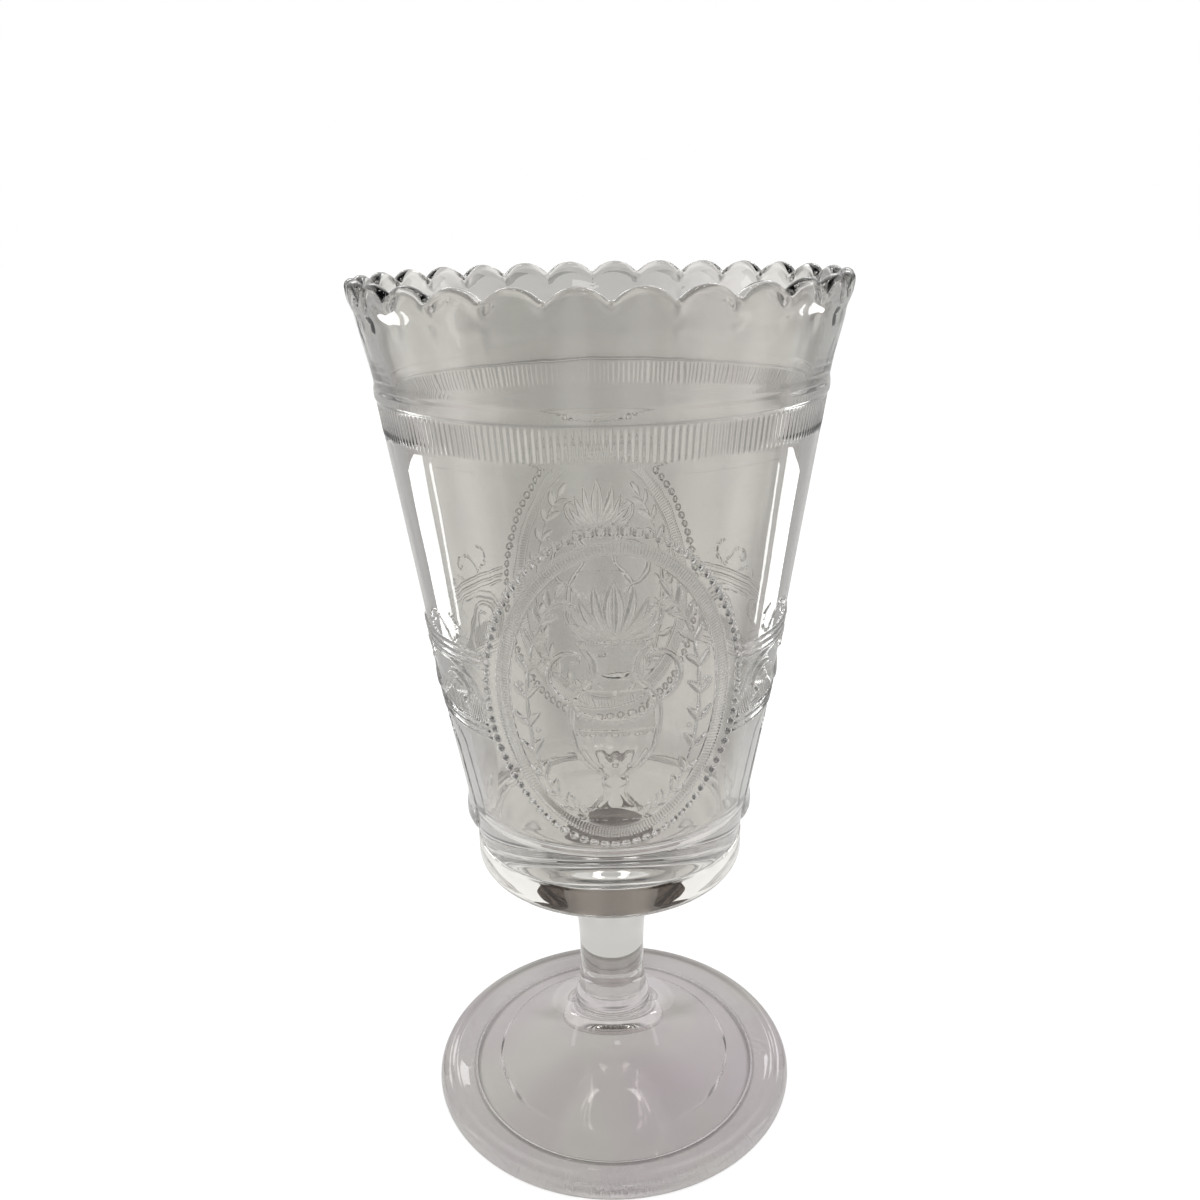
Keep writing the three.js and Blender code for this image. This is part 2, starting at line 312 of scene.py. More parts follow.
BOWL_GLASS = PressedGlass(
    "soda_lime_glass_pressed_bowl", "dcdbd6", "d9d6d3", Ripple.UPRIGHT, 5.0, 0.04, "f3f1eb", (76.0, 84.0)
)
STEM_GLASS = PressedGlass("soda_lime_glass_drawn_stem", "d2d1cc", "cfcbca", Ripple.ROUND, 9.0, 0.02)
WAFER_GLASS = PressedGlass("soda_lime_glass_squeezed_wafer", "cdc8c6", "cac3c5", Ripple.ROUND, 7.0, 0.03)
FOOT_GLASS = PressedGlass("soda_lime_glass_pressed_foot", "cfccc7", "cbc3c5", Ripple.ROUND, 12.0, 0.03)
FOOT_SCUFFS = ScuffedGlass("soda_lime_glass_scuffed_standing_ring", "bfb8b8", 1000, 1.1)
MEETING = ClearMeetingOrPaintedShade("fused_glass_inside")
# Painted shade: the stem's flat top, fused to the bowl, lets only a dark taupe through. It stands in for the
# shade seen there through the bowl's base.
STEM_TOP_PAINTED_SHADE = ClearMeetingOrPaintedShade("fused_glass_stem_top_painted_shade", "9a928c")


def arc(centre: Station, radius: float, start: float, end: float, steps: int) -> list[Station]:
    """Stations along an arc.

    Args:
        centre: The arc's centre, as distance from the axis and height.
        radius: The arc's radius.
        start: The first angle in degrees, 0 pointing away from the axis and 90 up.
        end: The last angle in degrees.
        steps: How many steps the arc is drawn in.

    Returns:
        The stations, with both ends.
    """
    out, up = centre
    angles = np.radians(np.linspace(start, end, steps + 1))
    return [(out + radius * math.cos(turn), up + radius * math.sin(turn)) for turn in angles]


def sweep(corners: Sequence[Station], steps: int) -> list[Station]:
    """Stations along a cubic curve.

    Args:
        corners: The curve's start, its two handles and its end.
        steps: How many steps the curve is drawn in.

    Returns:
        The stations, with both ends.
    """
    share = np.linspace(0, 1, steps + 1)[:, None]
    start, first, second, end = (np.array(corner, float) for corner in corners)
    rest = 1 - share
    line = rest**3 * start + 3 * rest**2 * share * first + 3 * rest * share**2 * second + share**3 * end
    return [(float(out), float(up)) for out, up in line]


def select_only(piece: bpy.types.Object) -> None:
    """Selects one object and makes it active.

    Args:
        piece: The object.
    """
    bpy.ops.object.select_all(action="DESELECT")
    piece.select_set(True)
    bpy.context.view_layer.objects.active = piece


def place_piece(piece: bpy.types.Object, node: str) -> bpy.types.Object:
    """Lets a piece stand for a node of the frame and move with its body.

    Args:
        piece: The piece.
        node: The node's name.

    Returns:
        The piece.
    """
    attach(piece, "root")
    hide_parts(node)
    log.info("%s: %d faces, for %s", piece.name, len(piece.data.polygons), node)
    return piece


@dataclass
class TurnedGlass:
    """A piece of glass that is the same all round, shaped station by station from a filled ring.

    Attributes:
        name: The piece's name.
        node: The node it stands for.
        finish: The glass.
        columns: How many columns there are round it.
        sharp_angle: From how many degrees on an edge is drawn sharp.
    """

    name: str
    node: str
    finish: PressedGlass
    columns: int = 144
    sharp_angle: float = 38.0

    def stations(self) -> list[Station]:
        """Gives the stations of the section, from one end to the other, as radius and height."""
        raise NotImplementedError

    def shape(self) -> bpy.types.Object:
        """Draws the ring and extrudes it from station to station.

        Returns:
            The closed piece, with flat faces at both ends.
        """
        stations = self.stations()
        radius, height = stations[0]
        bpy.ops.object.select_all(action="DESELECT")
        bpy.ops.mesh.primitive_circle_add(
            vertices=self.columns, radius=radius * MM, fill_type="NGON", location=(0, 0, height * MM)
        )
        piece = bpy.context.object
        piece.name = self.name
        piece.data.name = self.name
        bpy.ops.object.transform_apply(location=True)
        bpy.ops.object.mode_set(mode="EDIT")
        bpy.ops.mesh.select_all(action="SELECT")
        for next_radius, next_height in stations[1:]:
            rise = (next_height - height) * MM
            bpy.ops.mesh.extrude_region_move(TRANSFORM_OT_translate={"value": (0, 0, rise)})
            share = next_radius / radius
            bpy.ops.transform.resize(value=(share, share, 1), center_override=(0, 0, next_height * MM))
            radius, height = next_radius, next_height
        bpy.ops.mesh.select_all(action="SELECT")
        bpy.ops.mesh.normals_make_consistent(inside=False)
        bpy.ops.object.mode_set(mode="OBJECT")
        return piece

    def dress(self, piece: bpy.types.Object) -> None:
        """Gives the piece its glass, and its joint faces the clear inside.

        Args:
            piece: The shaped piece.
        """
        piece.data.materials.append(self.finish.make())
        piece.data.materials.append(MEETING.make())
        for face in piece.data.polygons:
            face.material_index = Slot.MEETING if self.is_joint(face) else Slot.GLASS
        select_only(piece)
        bpy.ops.object.shade_smooth_by_angle(angle=math.radians(self.sharp_angle))

    def is_joint(self, face: bpy.types.MeshPolygon) -> bool:
        """Tells whether a face is one of the flat ends, where the piece is fused to its neighbour."""
        return len(face.vertices) == self.columns

    def build(self) -> bpy.types.Object:
        """Builds, dresses and places the piece.

        Returns:
            The piece.
        """
        piece = self.shape()
        self.dress(piece)
        return place_piece(piece, self.node)


@dataclass
class Foot(TurnedGlass):
    """The broad pressed foot, hollow underneath, on a scuffed flat ring.

    The hollow is a dome, nearly a cone, with a small step at its edge and then a shallow recess up to
    the ring. A shallow valley runs inside the rounded edge, and from it the top slopes up to the neck.
    """

    name: str = "foot_glass"
    node: str = "foot"
    finish: PressedGlass = FOOT_GLASS
    columns: int = 192
    radius: float = 47.0
    height: float = 24.2
    edge_thickness: float = 5.7
    slope_rise: float = 5.0
    neck_radius: float = 9.7
    neck_drop: float = 8.5
    neck_spread: float = 1.4
    ring_width: float = 7.7
    recess_width: float = 7.2
    recess_depth: float = 1.8
    dome_edge_height: float = 3.6
    dome_crown_radius: float = 7.3
    dome_shoulder_radius: float = 11.25
    dome_shoulder_height: float = 9.6
    apex_glass: float = 9.0
    apex_radius: float = 0.4
    valley: float = 0.3
    ring_rounding: float = 0.8
    dome_step: float = 0.9
    dome_step_width: float = 0.55
    dome_step_rows: int = 5

    @property
    def edge_centre(self) -> float:
        """The radius of the middle of the rounded edge."""
        return self.radius - self.edge_thickness / 2

    @property
    def ring_inside(self) -> float:
        """The inner radius of the standing ring."""
        return self.edge_centre - self.ring_width

    def stations(self) -> list[Station]:
        """Gives the section: out under the dome, over the ring and round the edge, and up to the neck.

        Returns:
            The stations.
        """
        edge = self.edge_thickness / 2
        dome = self.ring_inside - self.recess_width
        apex = self.height - self.apex_glass
        crown = (self.dome_crown_radius, apex)
        shoulder = (self.dome_shoulder_radius, self.dome_shoulder_height)
        underside = sweep([(self.apex_radius, apex), crown, shoulder, (dome, self.dome_edge_height)], 22)
        run, drop = self.dome_step_width / self.dome_step_rows, self.dome_step / self.dome_step_rows
        rows = range(1, self.dome_step_rows + 1)
        step = [(dome + run * row, self.dome_edge_height - drop * row) for row in rows]
        recess_start = (dome + 0.8, self.dome_edge_height - self.dome_step - 0.06)
        first_pull = (dome + 2.2, self.recess_depth + 0.5)
        last_pull = (self.ring_inside - 2, self.recess_depth + 0.2)
        recess_end = (self.ring_inside - 0.1, self.ring_rounding + 0.25)
        recess = sweep([recess_start, first_pull, last_pull, recess_end], 8)
        slope_start = (self.edge_centre - edge, self.edge_thickness)
        slope_pull = (self.edge_centre / 2, self.edge_thickness + self.slope_rise)
        neck_pull = (self.neck_radius + self.neck_spread, self.height - self.neck_drop)
        top = sweep([slope_start, slope_pull, neck_pull, (self.neck_radius, self.height)], 34)
        rounding = self.ring_rounding
        ring = arc((self.ring_inside + rounding, rounding), rounding, 180, 270, 7)
        rounded = arc((self.edge_centre, edge), edge, -90, 90, 22)
        valley = []
        for share in np.linspace(0, 1, 9)[1:-1]:
            dip = self.valley * math.sin(math.pi * share) ** 2
            valley.append((self.edge_centre - edge * float(share), self.edge_thickness - dip))
        return underside + step + recess + ring + rounded + valley + top

    def dress(self, piece: bpy.types.Object) -> None:
        """Gives the foot its glass, and its standing ring the scuffs.

        Args:
            piece: The shaped foot.
        """
        super().dress(piece)
        piece.data.materials.append(FOOT_SCUFFS.make())
        for face in piece.data.polygons:
            if face.center.z < STANDING * MM:
                face.material_index = Slot.SPECIAL

    def is_joint(self, face: bpy.types.MeshPolygon) -> bool:
        """Tells whether a face is the flat top, where the wafer is fused on."""
        return len(face.vertices) == self.columns and face.center.z > (self.height - 1) * MM


@dataclass
class JoiningWafer(TurnedGlass):
    """The disc of glass that was squeezed between foot and stem.

    It bulges over the straight line between their radii, fully where the fullness is below 1, and
    flatter towards the stem by its lean.
    """

    name: str = "joining_wafer_glass"
    node: str = "joining_wafer"
    finish: PressedGlass = WAFER_GLASS
    bottom: float = 24.2
    thickness: float = 3.6
    foot_radius: float = 9.7
    stem_radius: float = 8.9
    bulge: float = 0.315
    bulge_fullness: float = 0.8
    bulge_lean: float = 0.35

    def stations(self) -> list[Station]:
        """Gives the section: a soft bulge from the foot to the stem, fuller low down.

        Returns:
            The stations.
        """
        share = np.linspace(0, 1, 13)
        taper = self.foot_radius + (self.stem_radius - self.foot_radius) * share
        swell = np.sin(math.pi * share) ** self.bulge_fullness * (1 - self.bulge_lean * share)
        heights = self.bottom + self.thickness * share
        return [(float(out), float(up)) for out, up in zip(taper + self.bulge * swell, heights)]


@dataclass
class Stem(TurnedGlass):
    """The solid stem, drawn in low down and spread where it meets the bowl.

    Its section is one curve, whose two handles are the pulls.
    """

    name: str = "stem_glass"
    node: str = "stem"
    finish: PressedGlass = STEM_GLASS
    bottom: float = 27.8
    top: float = 62.0
    bottom_radius: float = 8.9
    lower_pull: Station = (7.6, 39.8)
    upper_pull: Station = (8.6, 53.8)
    top_radius: float = 11.5

    def dress(self, piece: bpy.types.Object) -> None:
        """Gives the stem its glass, and painted shade on its flat top where it is fused to the bowl.

        Args:
            piece: The shaped stem.
        """
        super().dress(piece)
        piece.data.materials.append(STEM_TOP_PAINTED_SHADE.make())
        # The flat top, fused to the bowl, takes the dark clear face of painted shade.
        for face in piece.data.polygons:
            if face.material_index == Slot.MEETING and face.center.z > (self.top - 1) * MM:
                face.material_index = Slot.SPECIAL

    def stations(self) -> list[Station]:
        """Gives the section as one long curve."""
        start, end = (self.bottom_radius, self.bottom), (self.top_radius, self.top)
        return sweep([start, self.lower_pull, self.upper_pull, end], 40)


def smooth_step(start: float, end: float, value: Array) -> Array:
    """Rises smoothly from 0 at the start to 1 at the end."""
    share = np.clip((value - start) / (end - start), 0, 1)
    return share * share * (3 - 2 * share)


def dome(distance: Array, softness: float = 0.8) -> Array:
    """Gives a rounded form's height, 1 in its middle and 0 at a distance of 1, steep if softness is low."""
    return np.clip(1 - distance**2, 0, None) ** softness


def rounded_line(corners: Sequence[Sequence[float]], steps: int = 6) -> Array:
    """Draws a smooth line through corners.

    Args:
        corners: The corners: place across, place up and half the width there.
        steps: How many steps there are from corner to corner.

    Returns:
        The line's points, one row each.
    """
    points = np.array(corners, float)
    ends = np.vstack([2 * points[0] - points[1], points, 2 * points[-1] - points[-2]])
    share = np.linspace(0, 1, steps, endpoint=False)[:, None]
    spans = []
    for before, start, end, after in zip(ends, ends[1:], ends[2:], ends[3:]):
        bend = 2 * before - 5 * start + 4 * end - after
        swing = 3 * start - before - 3 * end + after
        spans.append(0.5 * (2 * start + (end - before) * share + bend * share**2 + swing * share**3))
    return np.vstack([*spans, points[-1:]])


def stroke(across: Array, up: Array, line: Array, softness: float = 0.8) -> Array:
    """The rounded section of a raised line.

    Args:
        across: The places' distances across.
        up: The places' heights.
        line: The line's points: across, up and half width.
        softness: How softly its sides run out.

    Returns:
        1 on the line, falling to 0 at its sides.
    """
    raised = np.zeros_like(across)
    widest = line[:, 2].max()
    low, high = line[:, :2].min(axis=0) - widest, line[:, :2].max(axis=0) + widest
    near = (across > low[0]) & (across < high[0]) & (up > low[1]) & (up < high[1])
    if not near.any():
        return raised
    x, y = across[near], up[near]
    closest = np.full_like(x, 9.0)
    for start, end in zip(line, line[1:]):
        run = end[:2] - start[:2]
        share = ((x - start[0]) * run[0] + (y - start[1]) * run[1]) / max(run @ run, 1e-9)
        share = np.clip(share, 0, 1)
        gap = np.hypot(x - start[0] - share * run[0], y - start[1] - share * run[1])
        closest = np.minimum(closest, gap / (start[2] + share * (end[2] - start[2])))
    raised[near] = dome(np.minimum(closest, 1), softness)
    return raised


def highest(forms: Iterable[Array]) -> Array:
    """Lays raised forms over each other, so that the highest counts at each place."""
    return reduce(np.maximum, forms)


def runs(marks: Sequence[float], steps: Sequence[int]) -> Array:
    """Places in even runs from mark to mark.

    Args:
        marks: Where the runs start and end.
        steps: How many steps each run has.

    Returns:
        The places, with the last mark.
    """
    spans = []
    for start, end, count in zip(marks, marks[1:], steps):
        spans.append(np.linspace(start, end, count, endpoint=False))
    return np.concatenate([*spans, marks[-1:]])


def leaf(root: Station, angle: float, length: float, half_width: float) -> Array:
    """Draws one pointed leaf.

    Args:
        root: Where it starts.
        angle: Which way it points, in degrees from straight up towards the outside.
        length: How long it is.
        half_width: Half its width where it is broadest.

    Returns:
        The leaf's points: across, up and half width.
    """
    share = np.linspace(0, 1, 7)
    turn = math.radians(angle)
    width = half_width * np.sin(math.pi * np.clip(share * 0.93 + 0.07, 0, 1)) ** 0.7 + 0.08
    bow = 0.09 * length * np.sin(math.pi * share)
    across = root[0] + share * length * math.sin(turn) + bow * math.cos(turn)
    up = root[1] + share * length * math.cos(turn) - bow * math.sin(turn)
    return np.column_stack([across, up, width])


URN_WIDTHS = (
    (-30.5, 0.0), (-30.4, 6.2), (-28.2, 6.2), (-28.1, 5.0), (-27.0, 5.0), (-26.9, 4.4), (-25.4, 3.2),
    (-23.0, 2.1), (-21.6, 2.0), (-20.6, 3.1), (-19.6, 3.1), (-18.6, 2.1), (-16.4, 5.4), (-12.0, 8.4),
    (-6.0, 9.6), (-1.0, 9.3), (2.4, 7.4), (4.6, 5.4), (6.6, 4.7), (9.6, 5.0), (11.6, 6.3), (12.4, 7.6),
    (13.6, 7.6), (13.7, 0.0),
)
"""The urn's heights over the medallion's middle, and half its width at each."""

URN_RINGS = ((-7.2, 0.16, 0.4), (2.2, 0.18, 0.45), (4.9, 0.14, 0.35), (12.1, 0.16, 0.4))
"""The raised rings across the urn: height, how far they stand proud and half their width."""

BERRIES = ((15.2, -19.4), (15.9, -8.4), (19.3, 2.4), (14.2, 12.4), (4.6, -29.2), (9.2, -24.9))
"""The places of the berries on the sprays of one half."""

BELT_KNOBS = ((26.6, 121.4, 1.15, 0.8), (9.0, 126.4, 0.95, 0.6), (0.0, 122.2, 1.9, 1.15))
"""The round knobs in the belt's scroll: place across, height, radius and how far they stand proud."""

HATCHING_TOP = (
    (0, 118.6), (9, 118.4), (14, 119), (18, 121.6), (20, 123), (23, 122.6), (30, 124.6), (34, 121),
)
"""How high the belt's hatching reaches at each distance from the side."""

PANEL_SWELL = ((76.8, 0), (78.5, 0.6), (80.5, 1.3), (82.4, 1.55), (84.5, 1.2), (87.0, 0.4), (89.4, 0.0))
"""How far a side panel swells over the base at each height."""


@dataclass(frozen=True)
class Wall:
    """The bowl's plain wall: its outside and inside radius at each height, without relief.

    It rises from the base past the belt and the shoulder under the ribbed band to the raised band.
    """

    base_top: float = 76.8
    base_radius: float = 32.6
    belt_bottom: float = 114.0
    belt_radius: float = 39.0
    shoulder: float = 183.5
    shoulder_radius: float = 49.3
    band_top: float = 188.5
    band_radius: float = 49.95
    thickness: float = 3.6
    floor: float = 83.5
    floor_corner: float = 7.0

    def outer(self, height: Array) -> Array:
        """Gives the outside radius at each height above the base band."""
        heights = [self.base_top, self.belt_bottom, self.shoulder]
        return np.interp(height, heights, [self.base_radius, self.belt_radius, self.shoulder_radius])

    def inner(self, height: Array) -> Array:
        """Gives the inside radius, with the rounded corner at the bowl's floor.

        Args:
            height: The heights, above the floor.

        Returns:
            The radii.
        """
        corner_top = self.floor + self.floor_corner
        heights = [corner_top, self.belt_bottom, self.band_top]
        outer_radii = [float(self.outer(np.array(corner_top))), self.belt_radius, self.band_radius]
        straight = np.interp(height, heights, [radius - self.thickness for radius in outer_radii])
        drop = np.clip(corner_top - height, 0, self.floor_corner)
        curved = np.sqrt(self.floor_corner**2 - drop**2) - self.floor_corner
        return straight + np.where(height < corner_top, curved, 0.0)


@dataclass
class OvalFrame:
    """The frame of a medallion. There is one in front and one behind, both the same.

    It has, from outside in, a row of beads, a row of pearls, a fluted band and a thin line. An inset is
    a distance inside the middle of the bead row, and a rise a height over the medallion's middle.

    Attributes:
        wall: The plain wall that it stands on.
        middle: The height of the medallion's middle.
        half_width: Half the width of the bead row's oval.
        half_height: Half its height.
        margin: How far outside that oval the frame is looked for.
        beads: How many beads there are round it.
        bead_radius: A bead's radius.
        bead_proud: How far it stands proud.
        crown_bead_radius: The radius of the largest bead, at the top.
        crown_beads: Over how many beads on each side of it they fall to the common size.
        pearls_per_bead: How many pearls, and flutes, there are to a bead.
        pearl_inset: The inset of the pearls.
        pearl_radii: A pearl's radius along the row and across it.
        pearl_proud: How far it stands proud.
        flute_depth: How far the flutes rise and fall.
        fluted_insets: The insets where the flutes begin and are full, and where they fall and end.
        line_inset: The inset of the thin line.
        line_half_width: Half its width.
        line_proud: How far it stands proud.
    """

    wall: Wall = field(default_factory=Wall)
    middle: float = 127.45
    half_width: float = 26.7
    half_height: float = 37.45
    margin: float = 3.0
    beads: int = 88
    bead_radius: float = 1.0
    bead_proud: float = 1.0
    crown_bead_radius: float = 1.5
    crown_beads: int = 3
    pearls_per_bead: int = 3
    pearl_inset: float = 2.35
    pearl_radii: tuple[float, float] = (0.38, 0.36)
    pearl_proud: float = 0.3
    flute_depth: float = 0.1
    fluted_insets: tuple[float, float, float, float] = (2.75, 2.95, 4.3, 4.6)
    line_inset: float = 5.0
    line_half_width: float = 0.24
    line_proud: float = 0.22

    def __post_init__(self) -> None:
        """Measures the bead row along the wall."""
        turn = np.linspace(-math.pi, math.pi, 4001)
        across = self.half_width * np.sin(turn)
        up = self.middle + self.half_height * np.cos(turn)
        deep = np.sqrt(self.wall.outer(up) ** 2 - across**2)
        steps = np.sqrt(np.diff(across) ** 2 + np.diff(up) ** 2 + np.diff(deep) ** 2)
        along = np.concatenate([[0], np.cumsum(steps)])
        self.turns = turn
        self.along = along - along[len(along) // 2]
        self.length = float(along[-1])
        self.bead_pitch = self.length / self.beads

    def near(self, across: Array, rise: Array) -> Array:
        """Tells which places lie inside the bead row's oval or its margin."""
        wide, tall = self.half_width + self.margin, self.half_height + self.margin
        return np.hypot(across / wide, rise / tall) < 1

    def inset(self, across: Array, rise: Array) -> Array:
        """Gives how far inside the bead row's oval a place lies, as seen from straight in front.

        Args:
            across: The distance across from the medallion's middle.
            rise: The height over its middle.

        Returns:
            The distance, below 0 outside the row, and never more than 12.
        """
        least, most = -30, 12
        wide, tall = self.half_width, self.half_height
        reach = np.hypot(across / wide, rise / tall)
        inset = np.clip((1 - reach) * (wide + tall) / 2, least, most)
        for _ in range(6):
            short, long = wide - inset, tall - inset
            miss = (across / short) ** 2 + (rise / long) ** 2 - 1
            slope = 2 * across**2 / short**3 + 2 * rise**2 / long**3
            inset = np.clip(inset - miss / np.maximum(slope, 1e-6), least, most)
        return inset

    def height(self, across: Array, rise: Array, radius: Array) -> tuple[Array, Array]:
        """Raises the beads, the pearls, the fluted band and the thin line.

        Args:
            across: The distance across from the medallion's middle.
            rise: The height over its middle.
            radius: The wall's radius there.

        Returns:
            The height over the wall, and the distance inside the bead row.
        """
        inset = self.inset(across, rise)
        turn = np.arctan2(across / (self.half_width - inset), rise / (self.half_height - inset))
        along = np.interp(turn, self.turns, self.along)
        facing = np.sqrt(np.clip(1 - (across / radius) ** 2, 0.05, 1))
        stretch = np.hypot(np.sin(turn) / facing, np.cos(turn))
        outward = inset * stretch
        number = np.round(along / self.bead_pitch)
        gap = along - number * self.bead_pitch
        crown = np.clip(1 - np.abs(number) / self.crown_beads, 0, 1)
        size = self.bead_radius + (self.crown_bead_radius - self.bead_radius) * crown
        squeeze = np.minimum(size, self.bead_pitch / 2)
        height = self.bead_proud * dome(np.hypot(gap / squeeze, outward / size))
        pearls = along / self.bead_pitch * self.pearls_per_bead
        pearl_gap = (pearls - np.round(pearls)) * self.bead_pitch / self.pearls_per_bead
        long, wide = self.pearl_radii
        height += self.pearl_proud * dome(np.hypot(pearl_gap / long, (inset - self.pearl_inset) / wide))
        begin, full, fall, end = self.fluted_insets
        fluted = smooth_step(begin, full, inset) * (1 - smooth_step(fall, end, inset))
        saw = np.sin(2 * math.pi * pearls) + 0.5 * np.sin(4 * math.pi * pearls)
        height += self.flute_depth * fluted * saw
        off_line = (inset - self.line_inset) / self.line_half_width
        height += self.line_proud * dome(off_line)
        return height, inset


@dataclass
class UrnPicture:
    """The picture inside a medallion: an urn on a plinth, with a palmette and two laurel sprays.

    Attributes:
        depth: How much deeper the picture is than it is drawn.
        plinth_top: The rise of the top of the urn's plinth.
        plinth_proud: How far it stands proud.
        contour_proud: How far the urn's outline stands proud.
        gadroons: How many ribs there are round the lower part of the urn.
        gadroon_proud: How far they rise and fall.
        gadroon_rises: The rises where they begin and are full, and where they fall and end.
        festoon_half_width: Half the width of the festoon on the urn.
        festoon_top: The rise of its ends.
        festoon_sag: How far it hangs down in the middle.
        festoon_proud: How far it stands proud.
        bud_pitch: The distance between its buds.
        berry_radius: The radius of the berries in the sprays.
        berry_proud: How far they stand proud.
    """

    depth: float = 1.15
    plinth_top: float = -26.9
    plinth_proud: float = 0.5
    contour_proud: float = 0.32
    gadroons: int = 12
    gadroon_proud: float = 0.11
    gadroon_rises: tuple[float, float, float, float] = (-16.5, -15.0, -8.6, -7.6)
    festoon_half_width: float = 8.6
    festoon_top: float = -0.2
    festoon_sag: float = 4.6
    festoon_proud: float = 0.34
    bud_pitch: float = 1.872
    berry_radius: float = 0.62
    berry_proud: float = 0.4

    def __post_init__(self) -> None:
        """Draws the lines of the picture."""
        self.contours = self._contours()
        self.design = self._design()

    def _contours(self) -> list[Array]:
        """Draws the soft outline of the urn and its lip, for one half of a mirrored design.

        Returns:
            The points of each line: distance from the medallion's middle, rise over it, half width.
        """
        outline = [(6.2, -30.4, 0.3), (6.0, -28.2, 0.3), (4.6, -27.0, 0.32), (2.3, -23.4, 0.32)]
        outline += [(2.6, -20.6, 0.34), (2.4, -18.6, 0.34), (5.4, -16.4, 0.36), (8.4, -12.0, 0.38)]
        outline += [(9.6, -6.0, 0.38), (9.3, -1.0, 0.38), (7.4, 2.4, 0.36), (5.2, 5.0, 0.36)]
        outline += [(4.8, 8.4, 0.36), (6.6, 11.8, 0.36), (7.7, 13.4, 0.36)]
        lip = [(0.0, 13.6, 0.34), (4.0, 13.6, 0.34), (7.7, 13.4, 0.36)]
        return [rounded_line(outline), rounded_line(lip, 3)]

    def _design(self) -> list[tuple[float, Array]]:
        """Draws the medallion's sprays, handles and palmette, for one half of a mirrored design.

        Returns:
            How far each line stands proud, and its points as for the contours.
        """
        handle = [(8.6, -1.0, 0.5), (11.4, 0.6, 0.7), (13.4, 4.0, 0.75), (12.9, 8.0, 0.7)]
        handle += [(10.4, 10.6, 0.65), (7.6, 10.6, 0.55), (7.2, 8.9, 0.45), (8.5, 8.4, 0.35)]
        stem = [(2.0, -30.4, 0.3), (7.5, -28.6, 0.35), (13.2, -23.0, 0.4), (16.6, -14.0, 0.4)]
        stem += [(17.9, -3.0, 0.38), (17.2, 8.0, 0.34), (14.6, 17.0, 0.3), (11.2, 23.0, 0.25)]
        lines = [(0.6, rounded_line(handle)), (0.3, rounded_line(stem))]
        spray = rounded_line(stem, 5)
        for index in range(3, len(spray) - 1, 3):
            run = spray[index + 1] - spray[index - 1]
            heading = math.degrees(math.atan2(run[0], run[1]))
            for lean in (-38, 38):
                lines.append((0.42, leaf((spray[index, 0], spray[index, 1]), heading + lean, 4.3, 0.8)))
        lines.append((0.42, leaf((11.2, 23.0), -32, 4.2, 0.8)))
        for angle, length in ((0, 13.0), (17, 12.4), (34, 11.0), (52, 9.4), (72, 7.6)):
            lines.append((0.5, leaf((0.35 * angle / 17, 14.0), angle, length, 1.05)))
        scroll = [(1.2, 14.2, 0.4), (5.4, 14.9, 0.5), (8.8, 17.2, 0.5), (9.6, 20.2, 0.45)]
        scroll += [(7.9, 21.4, 0.4), (6.9, 20.1, 0.3)]
        return [*lines, (0.45, rounded_line(scroll))]

    def height(self, across: Array, rise: Array) -> Array:
        """Raises the picture.

        Args:
            across: The distance across from the medallion's middle.
            rise: The height over its middle.

        Returns:
            The height over the wall.
        """
        side = np.abs(across)
        width = np.interp(rise, *np.transpose(URN_WIDTHS))
        share = side / np.maximum(width, 0.05)
        body = 0.5 * smooth_step(0.0, 1.5, width - side) + 0.35 * np.clip(1 - share**2, 0, 1)
        body = np.where(rise < self.plinth_top, self.plinth_proud, body)
        urn = np.where((width > 0.1) & (share < 1), body, 0.0)
        begin, full, fall, end = self.gadroon_rises
        ribbed = smooth_step(begin, full, rise) * (1 - smooth_step(fall, end, rise)) * (share < 0.97)
        urn += self.gadroon_proud * ribbed * np.cos(self.gadroons * np.arcsin(np.clip(share, 0, 1)))
        inside = (share < 0.98) & (width > 0.1)
        for level, proud, half in URN_RINGS:
            urn += np.where(inside, proud * dome((rise - level) / half), 0.0)
        half, top = self.festoon_half_width, self.festoon_top
        hang = top - self.festoon_sag * np.sqrt(np.clip(1 - (side / half) ** 2, 0, 1))
        buds = np.cos(2 * math.pi * side / self.bud_pitch)
        festoon = self.festoon_proud * dome((rise - hang) / (0.8 + 0.22 * buds)) * (side < half)
        urn += festoon * (0.8 + 0.2 * buds)
        urn += 0.3 * dome(np.hypot(side - half + 0.3, rise - top))
        urn += self.contour_proud * highest(stroke(side, rise, line, 1.2) for line in self.contours)
        lines = highest(proud * stroke(side, rise, line, 1.3) for proud, line in self.design)
        berries = highest(dome(np.hypot(side - x, rise - y) / self.berry_radius) for x, y in BERRIES)
        return self.depth * highest([urn, lines, self.berry_proud * berries])


